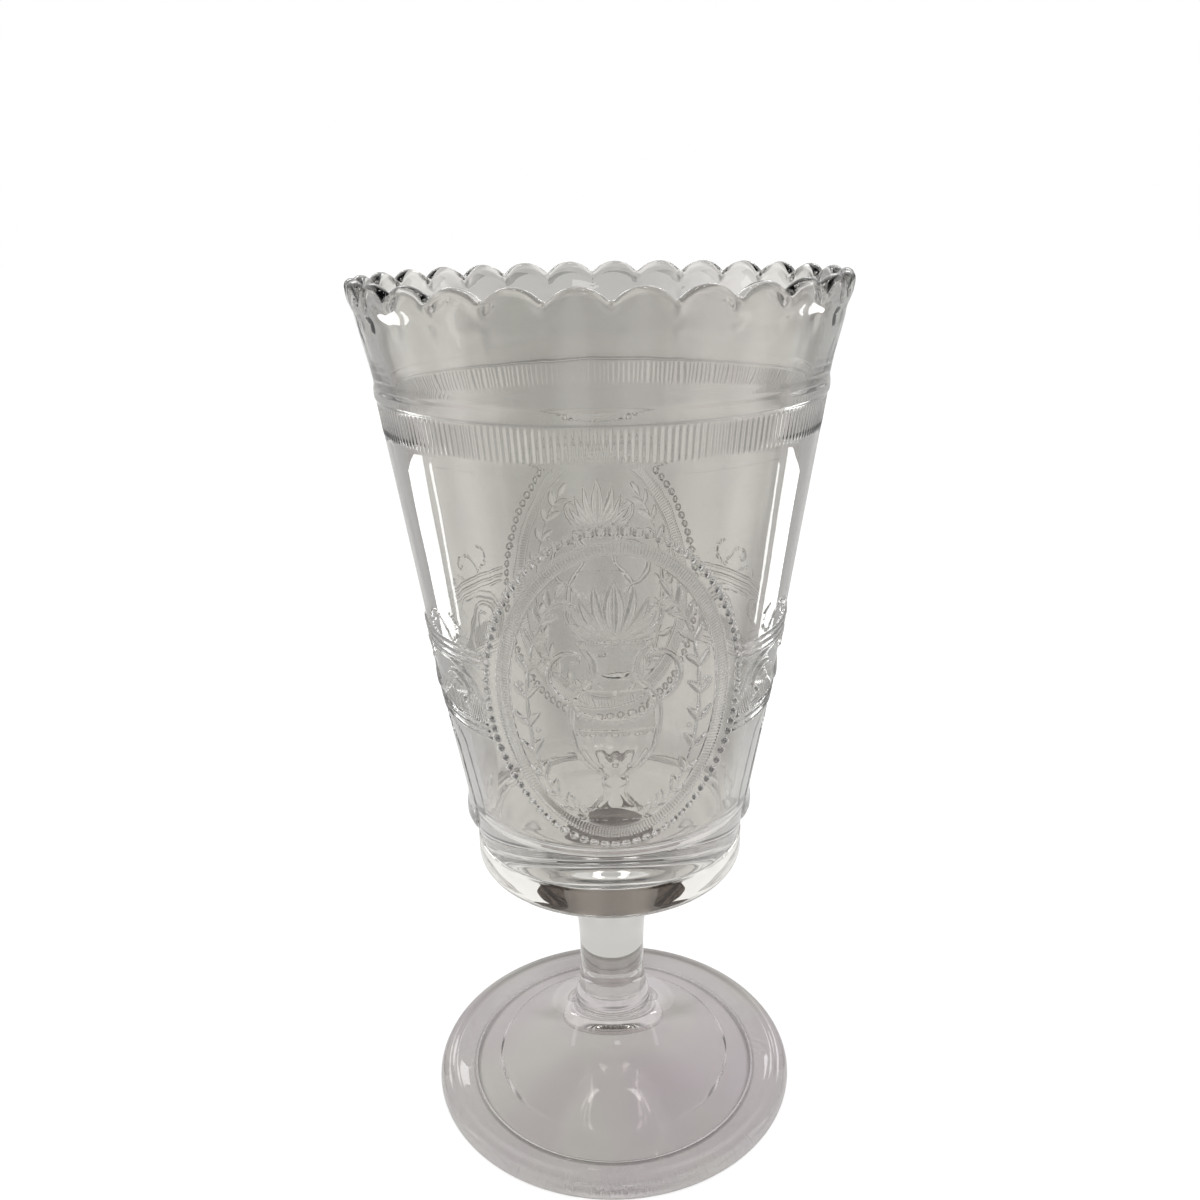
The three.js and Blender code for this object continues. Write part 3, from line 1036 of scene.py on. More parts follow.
@dataclass
class Belt:
    """The ornamented belt that runs round the wall from medallion to medallion.

    Attributes:
        reach: The heights between which its ornament lies.
        fade: The insets where it begins to fade towards a medallion and where it ends.
        lines: The heights of its raised lines.
        line_half_width: Half a line's width.
        line_proud: How far it stands proud.
        hatching_pitch: The distance between the fine upright ridges of the hatching.
        hatching_proud: Half of how far they stand proud.
        hatching_bottom: The heights where they begin and are full.
        hatching_sides: How far from the side's middle they begin and are full.
        side_radius: The wall's radius behind the belt, by which its ornament is laid out.
    """

    reach: tuple[float, float] = (112.0, 144.0)
    fade: tuple[float, float] = (-1.7, -1.0)
    lines: tuple[float, ...] = (113.9, 115.5, 117.1, 131.4, 132.9, 134.6)
    line_half_width: float = 0.4
    line_proud: float = 0.45
    hatching_pitch: float = 0.78
    hatching_proud: float = 0.11
    hatching_bottom: tuple[float, float] = (116.7, 117.1)
    hatching_sides: tuple[float, float] = (6.0, 10.0)
    side_radius: float = 40.7

    def __post_init__(self) -> None:
        """Draws the scrolls."""
        self.scrolls = self._scrolls()

    def _scrolls(self) -> list[tuple[float, Array]]:
        """Draws the belt's scrolls, of which one half is mirrored on each side of the vase.

        Returns:
            How far each line stands proud, and its points: distance from the side, height, half width.
        """
        wave = [(27.4, 121.0, 0.5), (29.0, 123.0, 0.55), (28.4, 125.9, 0.6), (25.8, 127.6, 0.6)]
        wave += [(22.6, 127.3, 0.65), (20.0, 124.9, 0.7), (17.4, 121.8, 0.7), (13.8, 119.8, 0.65)]
        wave += [(9.0, 119.4, 0.6), (4.2, 120.6, 0.7), (0.0, 122.2, 0.8), (-4.2, 120.6, 0.7)]
        crest = [(14.0, 130.4, 0.3), (19.0, 130.6, 0.7), (24.5, 130.3, 0.95), (29.0, 128.2, 0.95)]
        crest += [(31.8, 124.8, 0.8), (33.4, 121.0, 0.5)]
        curl = [(9.3, 126.2, 0.35), (11.2, 127.2, 0.45), (11.0, 129.3, 0.5), (8.2, 130.5, 0.55)]
        curl += [(4.6, 129.2, 0.6), (2.0, 126.6, 0.6), (0.0, 124.0, 0.6), (-2.0, 126.6, 0.6)]
        inner_arc = [(22.2, 122.2, 0.25), (22.6, 124.4, 0.4), (24.3, 125.6, 0.4), (25.9, 124.8, 0.3)]
        tendril = [(25.6, 135.6, 0.22), (24.2, 138.4, 0.3), (21.6, 140.8, 0.32), (18.4, 140.9, 0.3)]
        tendril += [(17.4, 139.2, 0.28), (18.5, 138.2, 0.22), (19.6, 138.8, 0.16)]
        sprig = [(19.4, 135.4, 0.2), (15.8, 137.2, 0.28), (12.4, 137.4, 0.26), (11.6, 136.2, 0.2)]
        plume = [(26.0, 135.6, 0.22), (28.2, 137.6, 0.3), (28.4, 140.4, 0.3), (26.6, 142.2, 0.2)]
        lines = [(0.75, wave), (0.55, crest), (0.6, curl), (0.4, inner_arc)]
        lines += [(0.32, tendril), (0.28, sprig), (0.3, plume)]
        return [(proud, rounded_line(corners)) for proud, corners in lines]

    def height(self, side: Array, height: Array) -> Array:
        """Raises the belt's lines, its running scrolls and the fine upright hatching under them.

        Args:
            side: The distance round from the nearer side of the vase.
            height: The height.

        Returns:
            The height over the wall.
        """
        away = np.abs(side)
        lines = highest(dome((height - level) / self.line_half_width) for level in self.lines)
        scrolls = [proud * stroke(away, height, line) for proud, line in self.scrolls]
        knobs = [proud * dome(np.hypot(away - x, height - y) / size) for x, y, size, proud in BELT_KNOBS]
        lines = highest([self.line_proud * lines, *scrolls, *knobs])
        crest = np.interp(away, *np.transpose(HATCHING_TOP))
        ground = smooth_step(*self.hatching_bottom, height) * (1 - smooth_step(-0.8, 0, height - crest))
        threads = 1 + np.cos(2 * math.pi * away / self.hatching_pitch)
        hatching = self.hatching_proud * ground * smooth_step(*self.hatching_sides, away) * threads
        return lines + hatching * (lines < 0.05)


@dataclass
class SidePanel:
    """An arched panel low on each side, which swells over the base band.

    Attributes:
        half_width: Half its width.
        bottom: The height of its lower end.
        top: The height of its arched top.
        proud: How far its edge stands proud.
    """

    half_width: float = 14.0
    bottom: float = 77.4
    top: float = 111.5
    proud: float = 0.22

    def height(self, across: Array, height: Array) -> Array:
        """Raises the panel.

        Args:
            across: The distance across from the side's middle, as seen from the side.
            height: The height.

        Returns:
            The height over the wall.
        """
        half, bottom, top = self.half_width, self.bottom, self.top
        below = np.clip((bottom + half - height) / half, 0, None)
        above = np.clip((height - top + half / 2) / (half / 2), 0, None)
        arch = np.sqrt(np.clip(1 - np.where(below > 0, below, above) ** 2, 0, 1))
        share = np.abs(across) / (half * np.maximum(arch, 0.03))
        mask = (1 - smooth_step(0.93, 1.0, share)) * ((height > bottom - 0.1) & (height < top + 0.1))
        swell = np.interp(height, *np.transpose(PANEL_SWELL))
        crown = np.clip(1 - share**2, 0, 1) ** 0.6
        return mask * self.proud + swell * crown


@dataclass
class Relief:
    """All that stands proud of the bowl's wall, as a height over each place of it.

    Attributes:
        frame: The frame of both medallions.
        picture: The picture in them.
        belt: The belt between them.
        panel: The panels under the belt.
    """

    frame: OvalFrame = field(default_factory=OvalFrame)
    picture: UrnPicture = field(default_factory=UrnPicture)
    belt: Belt = field(default_factory=Belt)
    panel: SidePanel = field(default_factory=SidePanel)

    def height(self, turn: Array, level: Array) -> Array:
        """Gives the height of the relief over the plain wall.

        Args:
            turn: The places' angles round the vase, 0 in front and growing to the right.
            level: Their heights.

        Returns:
            How far the glass stands proud there.
        """
        radius = self.frame.wall.outer(level)
        folded = (turn + math.pi / 2) % math.pi - math.pi / 2
        across = radius * np.sin(folded)
        rise = level - self.frame.middle
        aside = np.abs(folded) - math.pi / 2
        proud = np.zeros_like(radius)
        inset = np.full_like(radius, -math.inf)
        near = self.frame.near(across, rise)
        if near.any():
            raised, inset[near] = self.frame.height(across[near], rise[near], radius[near])
            inner = (inset[near] > self.frame.line_inset).astype(float)
            proud[near] = raised + inner * self.picture.height(across[near], rise[near])
        (bottom, top), (fade_start, fade_end) = self.belt.reach, self.belt.fade
        belted = (level > bottom) & (level < top) & (inset < fade_end)
        if belted.any():
            fade = 1 - smooth_step(fade_start, fade_end, inset[belted])
            around = aside[belted] * self.belt.side_radius
            proud[belted] += fade * self.belt.height(around, level[belted])
        sideways = radius * np.sin(aside)
        under_belt = (level > self.frame.wall.base_top) & (level < bottom)
        panelled = under_belt & (sideways > -self.panel.half_width)
        if panelled.any():
            proud[panelled] += self.panel.height(sideways[panelled], level[panelled])
        return proud


@dataclass
class Skin:
    """Points, faces and true normals of a closed piece of glass, gathered sheet by sheet.

    Attributes:
        points: The points' places.
        normals: Their normals.
        faces: The point numbers of each face of the glass.
        meetings: The point numbers of each flat face inside the glass, where pieces meet.
        count: How many points there are.
    """

    points: list[Array] = field(default_factory=list)
    normals: list[Array] = field(default_factory=list)
    faces: list[tuple[int, ...]] = field(default_factory=list)
    meetings: list[tuple[int, ...]] = field(default_factory=list)
    count: int = 0

    def add(self, turn: Array, radius: Array, level: Array, slopes: Sequence[Array]) -> Array:
        """Adds points given round the axis.

        Args:
            turn: Their angles.
            radius: Their radii.
            level: Their heights.
            slopes: The normal's parts: away from the axis, round it and up. They are made one long.

        Returns:
            The points' numbers, in the shape of the arrays.
        """
        out, aside, up = (np.broadcast_to(part, turn.shape) for part in slopes)
        length = np.sqrt(out**2 + aside**2 + up**2)
        sine, cosine = np.sin(turn), np.cos(turn)
        self.points.append(np.stack([radius * sine, -radius * cosine, level], -1).reshape(-1, 3))
        across = (out * sine + aside * cosine) / length
        deep = (-out * cosine + aside * sine) / length
        self.normals.append(np.stack([across, deep, up / length], -1).reshape(-1, 3))
        numbers = np.arange(self.count, self.count + turn.size).reshape(turn.shape)
        self.count += turn.size
        return numbers

    def quads(self, numbers: Array, keep: Array | None = None) -> None:
        """Adds the faces of a closed grid whose rows go up and whose columns go round.

        Args:
            numbers: The points' numbers, row by row.
            keep: Which faces are wanted, or none for all of them.
        """
        right = np.roll(numbers, -1, axis=1)
        corners = np.stack([numbers[:-1], right[:-1], right[1:], numbers[1:]], -1)
        if keep is not None:
            corners = corners[keep]
        self.faces.extend(map(tuple, corners.reshape(-1, 4).tolist()))

    def fan(self, ring: Array, middle: int) -> None:
        """Closes a ring of points with triangles to its middle."""
        following = np.roll(ring, -1)
        self.faces.extend((int(first), int(second), middle) for first, second in zip(ring, following))

    def halve(self, fine: Array, coarse: Array) -> None:
        """Joins a ring to the next one inside it, which has half its points.

        Args:
            fine: The outer ring's points.
            coarse: The inner ring's points.
        """
        count = len(coarse)
        for index in range(count):
            first, second, third = (int(fine[(2 * index + step) % len(fine)]) for step in range(3))
            here, following = int(coarse[index]), int(coarse[(index + 1) % count])
            self.faces.append((here, second, first))
            self.faces.append((here, following, second))
            self.faces.append((following, third, second))

    def object(self, name: str, finish: PressedGlass) -> bpy.types.Object:
        """Makes the mesh object, with smooth glass and flat clear meeting faces.

        Args:
            name: The piece's name.
            finish: Its glass.

        Returns:
            The object.
        """
        points = np.vstack(self.points) * MM
        mesh = bpy.data.meshes.new(name)
        mesh.from_pydata(points.tolist(), [], self.faces + self.meetings)
        mesh.materials.append(finish.make())
        mesh.materials.append(MEETING.make())
        slots = np.zeros(len(mesh.polygons), np.int32)
        slots[len(self.faces) :] = Slot.MEETING
        mesh.polygons.foreach_set("material_index", slots)
        mesh.polygons.foreach_set("use_smooth", np.ones(len(slots), bool))
        corners = np.empty(len(mesh.loops), np.int32)
        mesh.loops.foreach_get("vertex_index", corners)
        normals = np.vstack(self.normals)[corners]
        for face in mesh.polygons[len(self.faces) :]:
            normals[face.loop_start : face.loop_start + face.loop_total] = face.normal
        mesh.update()
        mesh.normals_split_custom_set(normals.tolist())
        piece = bpy.data.objects.new(name, mesh)
        bpy.context.scene.collection.objects.link(piece)
        return piece


@dataclass
class Bowl:
    """The bowl, one pressing. It is drawn as closed pieces that meet on clear faces inside the glass.

    Its relief is far finer than the modelling tools can press into a tapered wall, so its sheets are
    laid out in code, each point and its true normal taken from the relief.

    Attributes:
        relief: The relief on its wall.
        bottom: The height where it stands on the stem.
        stem_radius: The stem's radius there.
        base_radius: The radius of the base band.
        base_corner: How rounded the base's lower edge is.
        underside: The height of the base's flat underside.
        band_edge: The height of the base band's upper edge.
        window: Half the angle of the window that a medallion fills.
        window_bottom: The height of the window's lower edge.
        window_top: The height of its upper edge.
        collar_bottom: The height where the collar begins.
        belt_marks: The heights between which the wall's rows are spaced for the belt's ornament.
        outer_rows: How many rows of the wall there are between two marks, going up outside.
        inner_rows: How many there are going down inside.
        floor_dish: How deep the floor's dish is.
        window_columns: How many columns cross a window.
        side_columns: How many columns there are between two windows.
        inner_share: How many outer columns there are to an inner one.
        scallops: How many scallops the rim has.
        scallop_columns: How many columns there are to a scallop.
        rim_radius: The outer radius of the rim.
        rim_top: The height of the rim.
        scallop_depth: How deep the rim is cut between two scallops, before the corners are softened.
        drop_bottom: The height from which on the glass drops between the scallops.
        petal_bottom: The height from which on it flares less between them.
        petal_depth: How much less it flares there.
        rib_columns: How many columns there are to a rib.
        rib_depth: Half of how deep the ribs are.
        bead_columns: How many columns of a medallion there are to a bead.
        corner_share: How far along a window's edge its first corner is, as a share of the whole.
        margin_rows: How many rows there are between a window's edge and the medallion's frame.
        frame_rows: The rows of a medallion's frame: first inset, last inset and how many.
        picture_rings: The rings inside it: share of columns left out, first and last size, and how many.
    """

    relief: Relief = field(default_factory=Relief)
    bottom: float = 62.0
    stem_radius: float = 11.5
    base_radius: float = 33.0
    base_corner: float = 4.0
    underside: float = 67.7
    band_edge: float = 76.4
    window: float = math.radians(50)
    window_bottom: float = 87.0
    window_top: float = 168.0
    collar_bottom: float = 175.0
    belt_marks: tuple[float, ...] = (112.4, 136.0, 143.5)
    outer_rows: tuple[int, ...] = (24, 32, 70, 16, 22, 5)
    inner_rows: tuple[int, ...] = (3, 26, 5)
    floor_dish: float = 1.0
    window_columns: int = 48
    side_columns: int = 152
    inner_share: int = 4
    scallops: int = 28
    scallop_columns: int = 40
    rim_radius: float = 54.2
    rim_top: float = 210.0
    scallop_depth: float = 2.9
    drop_bottom: float = 202.0
    petal_bottom: float = 198.0
    petal_depth: float = 0.85
    rib_columns: int = 5
    rib_depth: float = 0.07
    bead_columns: int = 12
    corner_share: float = 0.105
    margin_rows: int = 10
    frame_rows: tuple[tuple[float, float, int], ...] = (
        (-1.9, 1.5, 16),
        (1.8, 3.0, 7),
        (3.35, 4.35, 4),
        (4.55, 5.5, 11),
    )
    picture_rings: tuple[tuple[int, float, float, int], ...] = (
        (2, 1, 0.5, 49),
        (4, 0.5, 0.25, 24),
        (8, 0.25, 0.08, 15),
    )

    @property
    def wall(self) -> Wall:
        """The plain wall under the relief."""
        return self.relief.frame.wall

    def outside(self, turn: Array, level: Array) -> tuple[Array, list[Array]]:
        """Gives the outside of the glass with its relief.

        Args:
            turn: The places' angles.
            level: Their heights.

        Returns:
            The radii there, and the parts of the normal.
        """
        step = 0.04

        def radius(angle: Array, height: Array) -> Array:
            """The outside radius with its relief."""
            return self.wall.outer(height) + self.relief.height(angle, height)

        here = radius(turn, level)
        aside = step / here
        round_it = (radius(turn + aside, level) - radius(turn - aside, level)) / (2 * step)
        upward = (radius(turn, level + step) - radius(turn, level - step)) / (2 * step)
        return here, [np.ones_like(here), -round_it, -upward]

    def inside(self, level: Array) -> tuple[Array, list[Array]]:
        """Gives the plain inside of the glass.

        Args:
            level: The heights of the places.

        Returns:
            The radii there, and the parts of the normal.
        """
        step = 0.05
        here = self.wall.inner(level)
        upward = (self.wall.inner(level + step) - self.wall.inner(level - step)) / (2 * step)
        return here, [-np.ones_like(here), np.zeros_like(here), upward]

    def body(self) -> bpy.types.Object:
        """Builds the cup up to the collar, with a window for each medallion.

        Returns:
            The piece.
        """
        skin = Skin()
        half = self.window_columns + self.side_columns
        front = np.linspace(-self.window, self.window, self.window_columns, endpoint=False)
        side = np.linspace(self.window, math.pi - self.window, self.side_columns, endpoint=False)
        turn = np.concatenate([front, side, front + math.pi, side + math.pi])
        in_front = np.arange(len(turn)) % half < self.window_columns
        lower, upper = [self.wall.base_top, self.window_bottom], [self.window_top, self.collar_bottom]
        level = runs([*lower, *self.belt_marks, *upper], self.outer_rows)
        grid_turn, grid_level = np.meshgrid(turn, level)
        radius, slopes = self.outside(grid_turn, grid_level)
        outer = skin.add(grid_turn, radius, grid_level, slopes)
        skin.quads(outer, self._beside_window(level, in_front))
        base = self._section_rows(skin, self._base_section(), turn)
        skin.quads(np.vstack([base, outer[:1]]))
        skin.meetings.append(tuple(base[0][::-1].tolist()))
        share = self.inner_share
        corner_top = self.wall.floor + self.wall.floor_corner
        marks = [self.collar_bottom, self.window_top, corner_top, self.window_bottom]
        inner_level = runs(marks, self.inner_rows)
        grid_turn, grid_level = np.meshgrid(turn[::share], inner_level)
        radius, slopes = self.inside(grid_level)
        inner = skin.add(grid_turn, radius, grid_level, slopes)
        skin.quads(inner, self._beside_window(inner_level, in_front[::share]))
        floor = self._section_rows(skin, self._floor_section(), turn[::share])
        skin.quads(np.vstack([inner[-1:], floor]))
        lowest = np.full(1, self.wall.floor - self.floor_dish)
        middle = skin.add(np.zeros(1), np.zeros(1), lowest, [0.0, 0.0, 1.0])
        skin.fan(floor[-1], int(middle[0]))
        self._close_top(skin, outer[-1], inner[0])
        for start in (0, half):
            columns = start + np.arange(self.window_columns + 1)
            block = outer[np.ix_(self._window_rows(level), columns)]
            inner_rows = self._window_rows(inner_level)[::-1]
            self._frame_window(skin, block, inner[np.ix_(inner_rows, columns[::share] // share)])
        return self._finish(skin, "bowl_wall_glass")

    def _window_rows(self, level: Array) -> Array:
        """Gives the numbers of the rows that lie in the windows' height, with their edges."""
        return np.flatnonzero((level > self.window_bottom - SLACK) & (level < self.window_top + SLACK))

    def _beside_window(self, level: Array, in_front: Array) -> Array:
        """Tells which faces of the wall's grid lie beside the windows.

        Args:
            level: The height of each row of points.
            in_front: Whether each column of faces is in front or behind.

        Returns:
            True for each face to keep, row by row.
        """
        low, high = np.minimum(level[:-1], level[1:]), np.maximum(level[:-1], level[1:])
        in_height = (low > self.window_bottom - SLACK) & (high < self.window_top + SLACK)
        return ~(in_height[:, None] & in_front[None, :])

    def _base_section(self) -> list[Station]:
        """Gives the section from the stem out under the base and up its band.

        Returns:
            The stations.
        """
        middle = self.base_radius - self.base_corner
        pull = (self.stem_radius + middle) / 2
        start, end = (self.stem_radius, self.bottom), (middle - self.base_corner / 2, self.underside)
        underside = sweep([start, (pull, self.bottom), (pull, self.underside), end], 14)
        corner = arc((middle, self.underside + self.base_corner), self.base_corner, -90, 0, 9)
        band = [(self.base_radius, 73.2), (self.base_radius, 74.8), (self.base_radius, self.band_edge - 0.3)]
        return [*underside, *corner, *band, (self.base_radius - 0.06, self.band_edge), (32.85, 76.62)]

    def _floor_section(self) -> list[Station]:
        """Gives the section from the lower end of the inside wall over the rounded corner to the floor.

        Returns:
            The stations, without the middle of the floor.
        """
        top = self.wall.floor + self.wall.floor_corner
        centre = float(self.wall.inner(np.array(top))) - self.wall.floor_corner
        start = math.degrees(math.asin((self.window_bottom - top) / self.wall.floor_corner))
        corner = arc((centre, top), self.wall.floor_corner, start, -90, 10)[1:]
        shares = np.linspace(1, 0, 10)[1:-1]
        dish = [(centre * share, self.wall.floor - self.floor_dish * (1 - share**2)) for share in shares]
        return [*corner, *((float(out), float(up)) for out, up in dish)]

    def _section_rows(self, skin: Skin, section: Sequence[Station], turn: Array) -> Array:
        """Adds a plain turned strip of rows, with normals square to the section.

        Args:
            skin: The piece's skin.
            section: The stations, one for each row.
            turn: The angles of the columns.

        Returns:
            The points' numbers, row by row.
        """
        line = np.array(section)
        run = np.gradient(line, axis=0)
        grid_turn, radius = np.meshgrid(turn, line[:, 0])
        level = np.repeat(line[:, 1:2], len(turn), axis=1)
        out = np.repeat(run[:, 1:2], len(turn), axis=1)
        up = np.repeat(-run[:, 0:1], len(turn), axis=1)
        return skin.add(grid_turn, radius, level, [out, np.zeros_like(out), up])

    def _close_top(self, skin: Skin, outer: Array, inner: Array) -> None:
        """Closes the wall between an outer ring and a coarser inner ring with flat meeting faces.

        Args:
            skin: The piece's skin.
            outer: The outer ring's points.
            inner: The inner ring's points.
        """
        ratio = len(outer) // len(inner)
        for index, number in enumerate(inner):
            span = [int(outer[(index * ratio + step) % len(outer)]) for step in range(ratio + 1)]
            skin.meetings.append((*span, int(inner[(index + 1) % len(inner)]), int(number)))

    def _frame_window(self, skin: Skin, outer: Array, inner: Array) -> None:
        """Closes the four sides of a window with flat meeting faces.

        Args:
            skin: The piece's skin.
            outer: The outside points in the window, row by row going up.
            inner: The inside points there, in the same order.
        """
        sides = [
            (outer[0], inner[0]),
            (outer[:, -1], inner[:, -1]),
            (outer[-1][::-1], inner[-1][::-1]),
            (outer[:, 0][::-1], inner[:, 0][::-1]),
        ]
        for outside, inside in sides:
            skin.meetings.append((*outside.tolist(), *inside[::-1].tolist()))

    def collar(self) -> bpy.types.Object:
        """Builds the collar: the ribbed band, the raised band and the flared, scalloped rim.

        Returns:
            The piece.
        """
        columns = self.scallops * self.scallop_columns
        turn = np.arange(columns) * 2 * math.pi / columns
        section = np.array(self._collar_section())
        radius, level, ribs = (np.repeat(part[:, None], columns, axis=1) for part in section.T)
        drop, petal = self._scallop_shape(turn)
        reaching = np.clip((level - self.petal_bottom) / (self.rim_top - self.petal_bottom), 0, 1)
        dropping = np.clip((level - self.drop_bottom) / (self.rim_top - self.drop_bottom), 0, 1)
        radius = radius - self.petal_depth * reaching**1.5 * (1 - petal)
        level = level - dropping * drop
        ribbing = np.cos(np.arange(columns) * 2 * math.pi / self.rib_columns)
        radius = radius + ribs * self.rib_depth * ribbing
        grid = Skin()
        grid_turn = np.repeat(turn[None, :], len(section), axis=0)
        numbers = grid.add(grid_turn, radius, level, self._grid_normals(radius, level, turn))
        grid.quads(numbers)
        outer, inner = numbers[0], numbers[-1]
        corners = np.stack([np.roll(outer, -1), outer, inner, np.roll(inner, -1)], -1)
        grid.meetings.extend(map(tuple, corners.tolist()))
        return self._finish(grid, "bowl_collar_glass")

    def _scallop_shape(self, turn: Array) -> tuple[Array, Array]:
        """Draws the rim's scallops, each a flat arc, with softened corners between them.

        Args:
            turn: The angles round the rim.

        Returns:
            How far the rim drops at each angle, and how far it flares, 1 at the top of a scallop.
        """
        off_middle = np.abs((turn * self.scallops / (2 * math.pi) + 0.5) % 1 - 0.5)
        reach = 0.5 - off_middle
        chord = 2 * math.pi * self.rim_radius / self.scallops
        bow = (chord**2 / 4 + self.scallop_depth**2) / (2 * self.scallop_depth)
        arched = bow - np.sqrt(bow**2 - (reach * chord) ** 2)
        weights = np.array([1, 2, 3, 4, 3, 2, 1]) / 16
        drop = sum(weight * np.roll(arched, shift - 3) for shift, weight in enumerate(weights))
        drop -= drop.min()
        crest = np.cos(reach * math.pi) ** 2
        return drop, 1 - drop / drop.max() * 0.9 - 0.1 * (1 - crest)

    def _collar_section(self) -> list[tuple[float, float, float]]:
        """Gives the collar's section, up its outside and down its inside.

        Returns:
            The stations: radius, height and share of ribs.
        """
        wall = self.wall
        plain = [(float(wall.outer(np.array(z))), z, 0.0) for z in (175.0, 176.0, 177.0, 177.6)]
        ribbed = []
        for z in np.linspace(177.8, 184.9, 12):
            share = smooth_step(177.7, 178.6, z) * (1 - smooth_step(184.5, 185.0, z))
            out = np.interp(z, [177.6, 183.5, 185.0], [48.36, 49.2, 49.42])
            ribbed.append((float(out), float(z), float(share)))
        band = [(49.46, 185.1), (49.6, 185.25), (49.82, 185.5), (49.93, 185.9), (49.96, 186.6)]
        band += [(49.94, 187.6), (49.88, 188.1), (49.8, 188.45), (49.82, 188.9)]
        flare = sweep([(49.9, 189.4), (50.5, 193.5), (51.6, 197.0), (52.4, 201.0)], 9)
        lip = sweep([(52.55, 202.0), (52.9, 204.0), (54.2, 205.4), (54.2, 208.3)], 7)
        crown = arc((52.6, 208.4), 1.6, 0, 180, 14)
        inner_lip = sweep([(51.0, 207.4), (50.8, 205.5), (49.9, 204.4), (49.6, 202.6)], 6)
        inside = sweep([(49.2, 200.6), (48.2, 196.5), (47.2, 192.5), (46.45, 189.4)], 8)
        lower = [(float(wall.inner(np.array(z))), float(z)) for z in np.linspace(187.6, 175.0, 7)]
        smooth = [*band, *flare, *lip, *crown[1:], *inner_lip, *inside, *lower]
        return [*plain, *ribbed, *((out, up, 0.0) for out, up in smooth)]

    def _grid_normals(self, radius: Array, level: Array, turn: Array) -> tuple[Array, Array, Array]:
        """Gives the normals of a closed grid, each from the places of the points round it.

        Args:
            radius: The points' radii, row by row.
            level: Their heights.
            turn: The angles of the columns, evenly spaced.

        Returns:
            The normals' parts: away from the axis, round it and up.
        """
        around = turn[1] - turn[0]
        out_round = (np.roll(radius, -1, 1) - np.roll(radius, 1, 1)) / (2 * around)
        up_round = (np.roll(level, -1, 1) - np.roll(level, 1, 1)) / (2 * around)
        out_along = np.gradient(radius, axis=0)
        up_along = np.gradient(level, axis=0)
        return radius * up_along, up_round * out_along - out_round * up_along, -radius * out_along

    def medallion(self, name: str, middle: float) -> bpy.types.Object:
        """Builds the part of the wall that carries a medallion.

        Args:
            name: The piece's name.
            middle: The angle of its middle.

        Returns:
            The piece.
        """
        border = self.relief.frame
        skin = Skin()
        columns = border.beads * self.bead_columns
        along = np.arange(columns) * border.length / columns
        along = np.where(along > border.length / 2, along - border.length, along)
        oval = np.interp(along, border.along, border.turns)
        corners, edge_turn, edge_level = self._window_edge(columns)
        insets = np.concatenate([np.linspace(*run) for run in self.frame_rows])
        wide, tall = border.half_width - insets, border.half_height - insets
        rows = [self._on_wall(*halves, oval) for halves in zip(wide, tall)]
        first_turn, first_level = rows[0]
        margin = []
        for share in np.linspace(0, 1, self.margin_rows, endpoint=False):
            margin_turn = edge_turn + (first_turn - edge_turn) * share
            margin.append((margin_turn, edge_level + (first_level - edge_level) * share))
        row_turns, row_levels = zip(*margin, *rows)
        outer = self._face_rows(skin, np.array(row_turns), np.array(row_levels), middle)
        skin.quads(outer[::-1])
        last = outer[-1]
        for step, start, end, count in self.picture_rings:
            for share in np.linspace(start, end, count + 1)[1:]:
                turn, level = self._on_wall(wide[-1] * share, tall[-1] * share, oval[::step])
                ring = self._face_rows(skin, turn[None], level[None], middle)[0]
                if len(ring) == len(last):
                    skin.quads(np.stack([last[::-1], ring[::-1]]))
                else:
                    skin.halve(last, ring)
                last = ring
        spot = self._face_rows(skin, np.zeros((1, 1)), np.full((1, 1), border.middle), middle)
        skin.fan(last[::-1], int(spot[0, 0]))
        inner = self._medallion_inside(skin, edge_turn, edge_level, middle)
        for start, end in zip(corners, [*corners[1:], columns + corners[0]]):
            outside = outer[0][np.arange(start, end + 1) % columns]
            inside = inner[np.arange(start, end + 1, self.inner_share) % columns // self.inner_share]
            skin.meetings.append((*outside.tolist(), *inside[::-1].tolist()))
        return self._finish(skin, name)

    def _window_edge(self, columns: int) -> tuple[list[int], Array, Array]:
        """Spaces points along a window's edge, as many as there are round the oval in it.

        Args:
            columns: How many points there are.

        Returns:
            The numbers of the points at the corners, and the points' angles and heights.
        """
        centre = (self.window_top + self.window_bottom) / 2
        half_tall = (self.window_top - self.window_bottom) / 2
        corner = int(round(columns * self.corner_share / self.inner_share)) * self.inner_share
        corners = [corner, columns // 2 - corner, columns // 2 + corner, columns - corner]
        number, marks = np.arange(columns), [0, *corners, columns]
        turn = np.interp(number, marks, [0, self.window, self.window, -self.window, -self.window, 0])
        return corners, turn, centre + half_tall * np.interp(number, marks, [1, 1, -1, -1, 1, 1])

    def _on_wall(self, wide: float, tall: float, oval: Array) -> tuple[Array, Array]:
        """Lays the points of an oval, seen from in front, on the wall, and gives their angles and heights."""
        level = self.relief.frame.middle + tall * np.cos(oval)
        return np.arcsin(wide * np.sin(oval) / self.wall.outer(level)), level

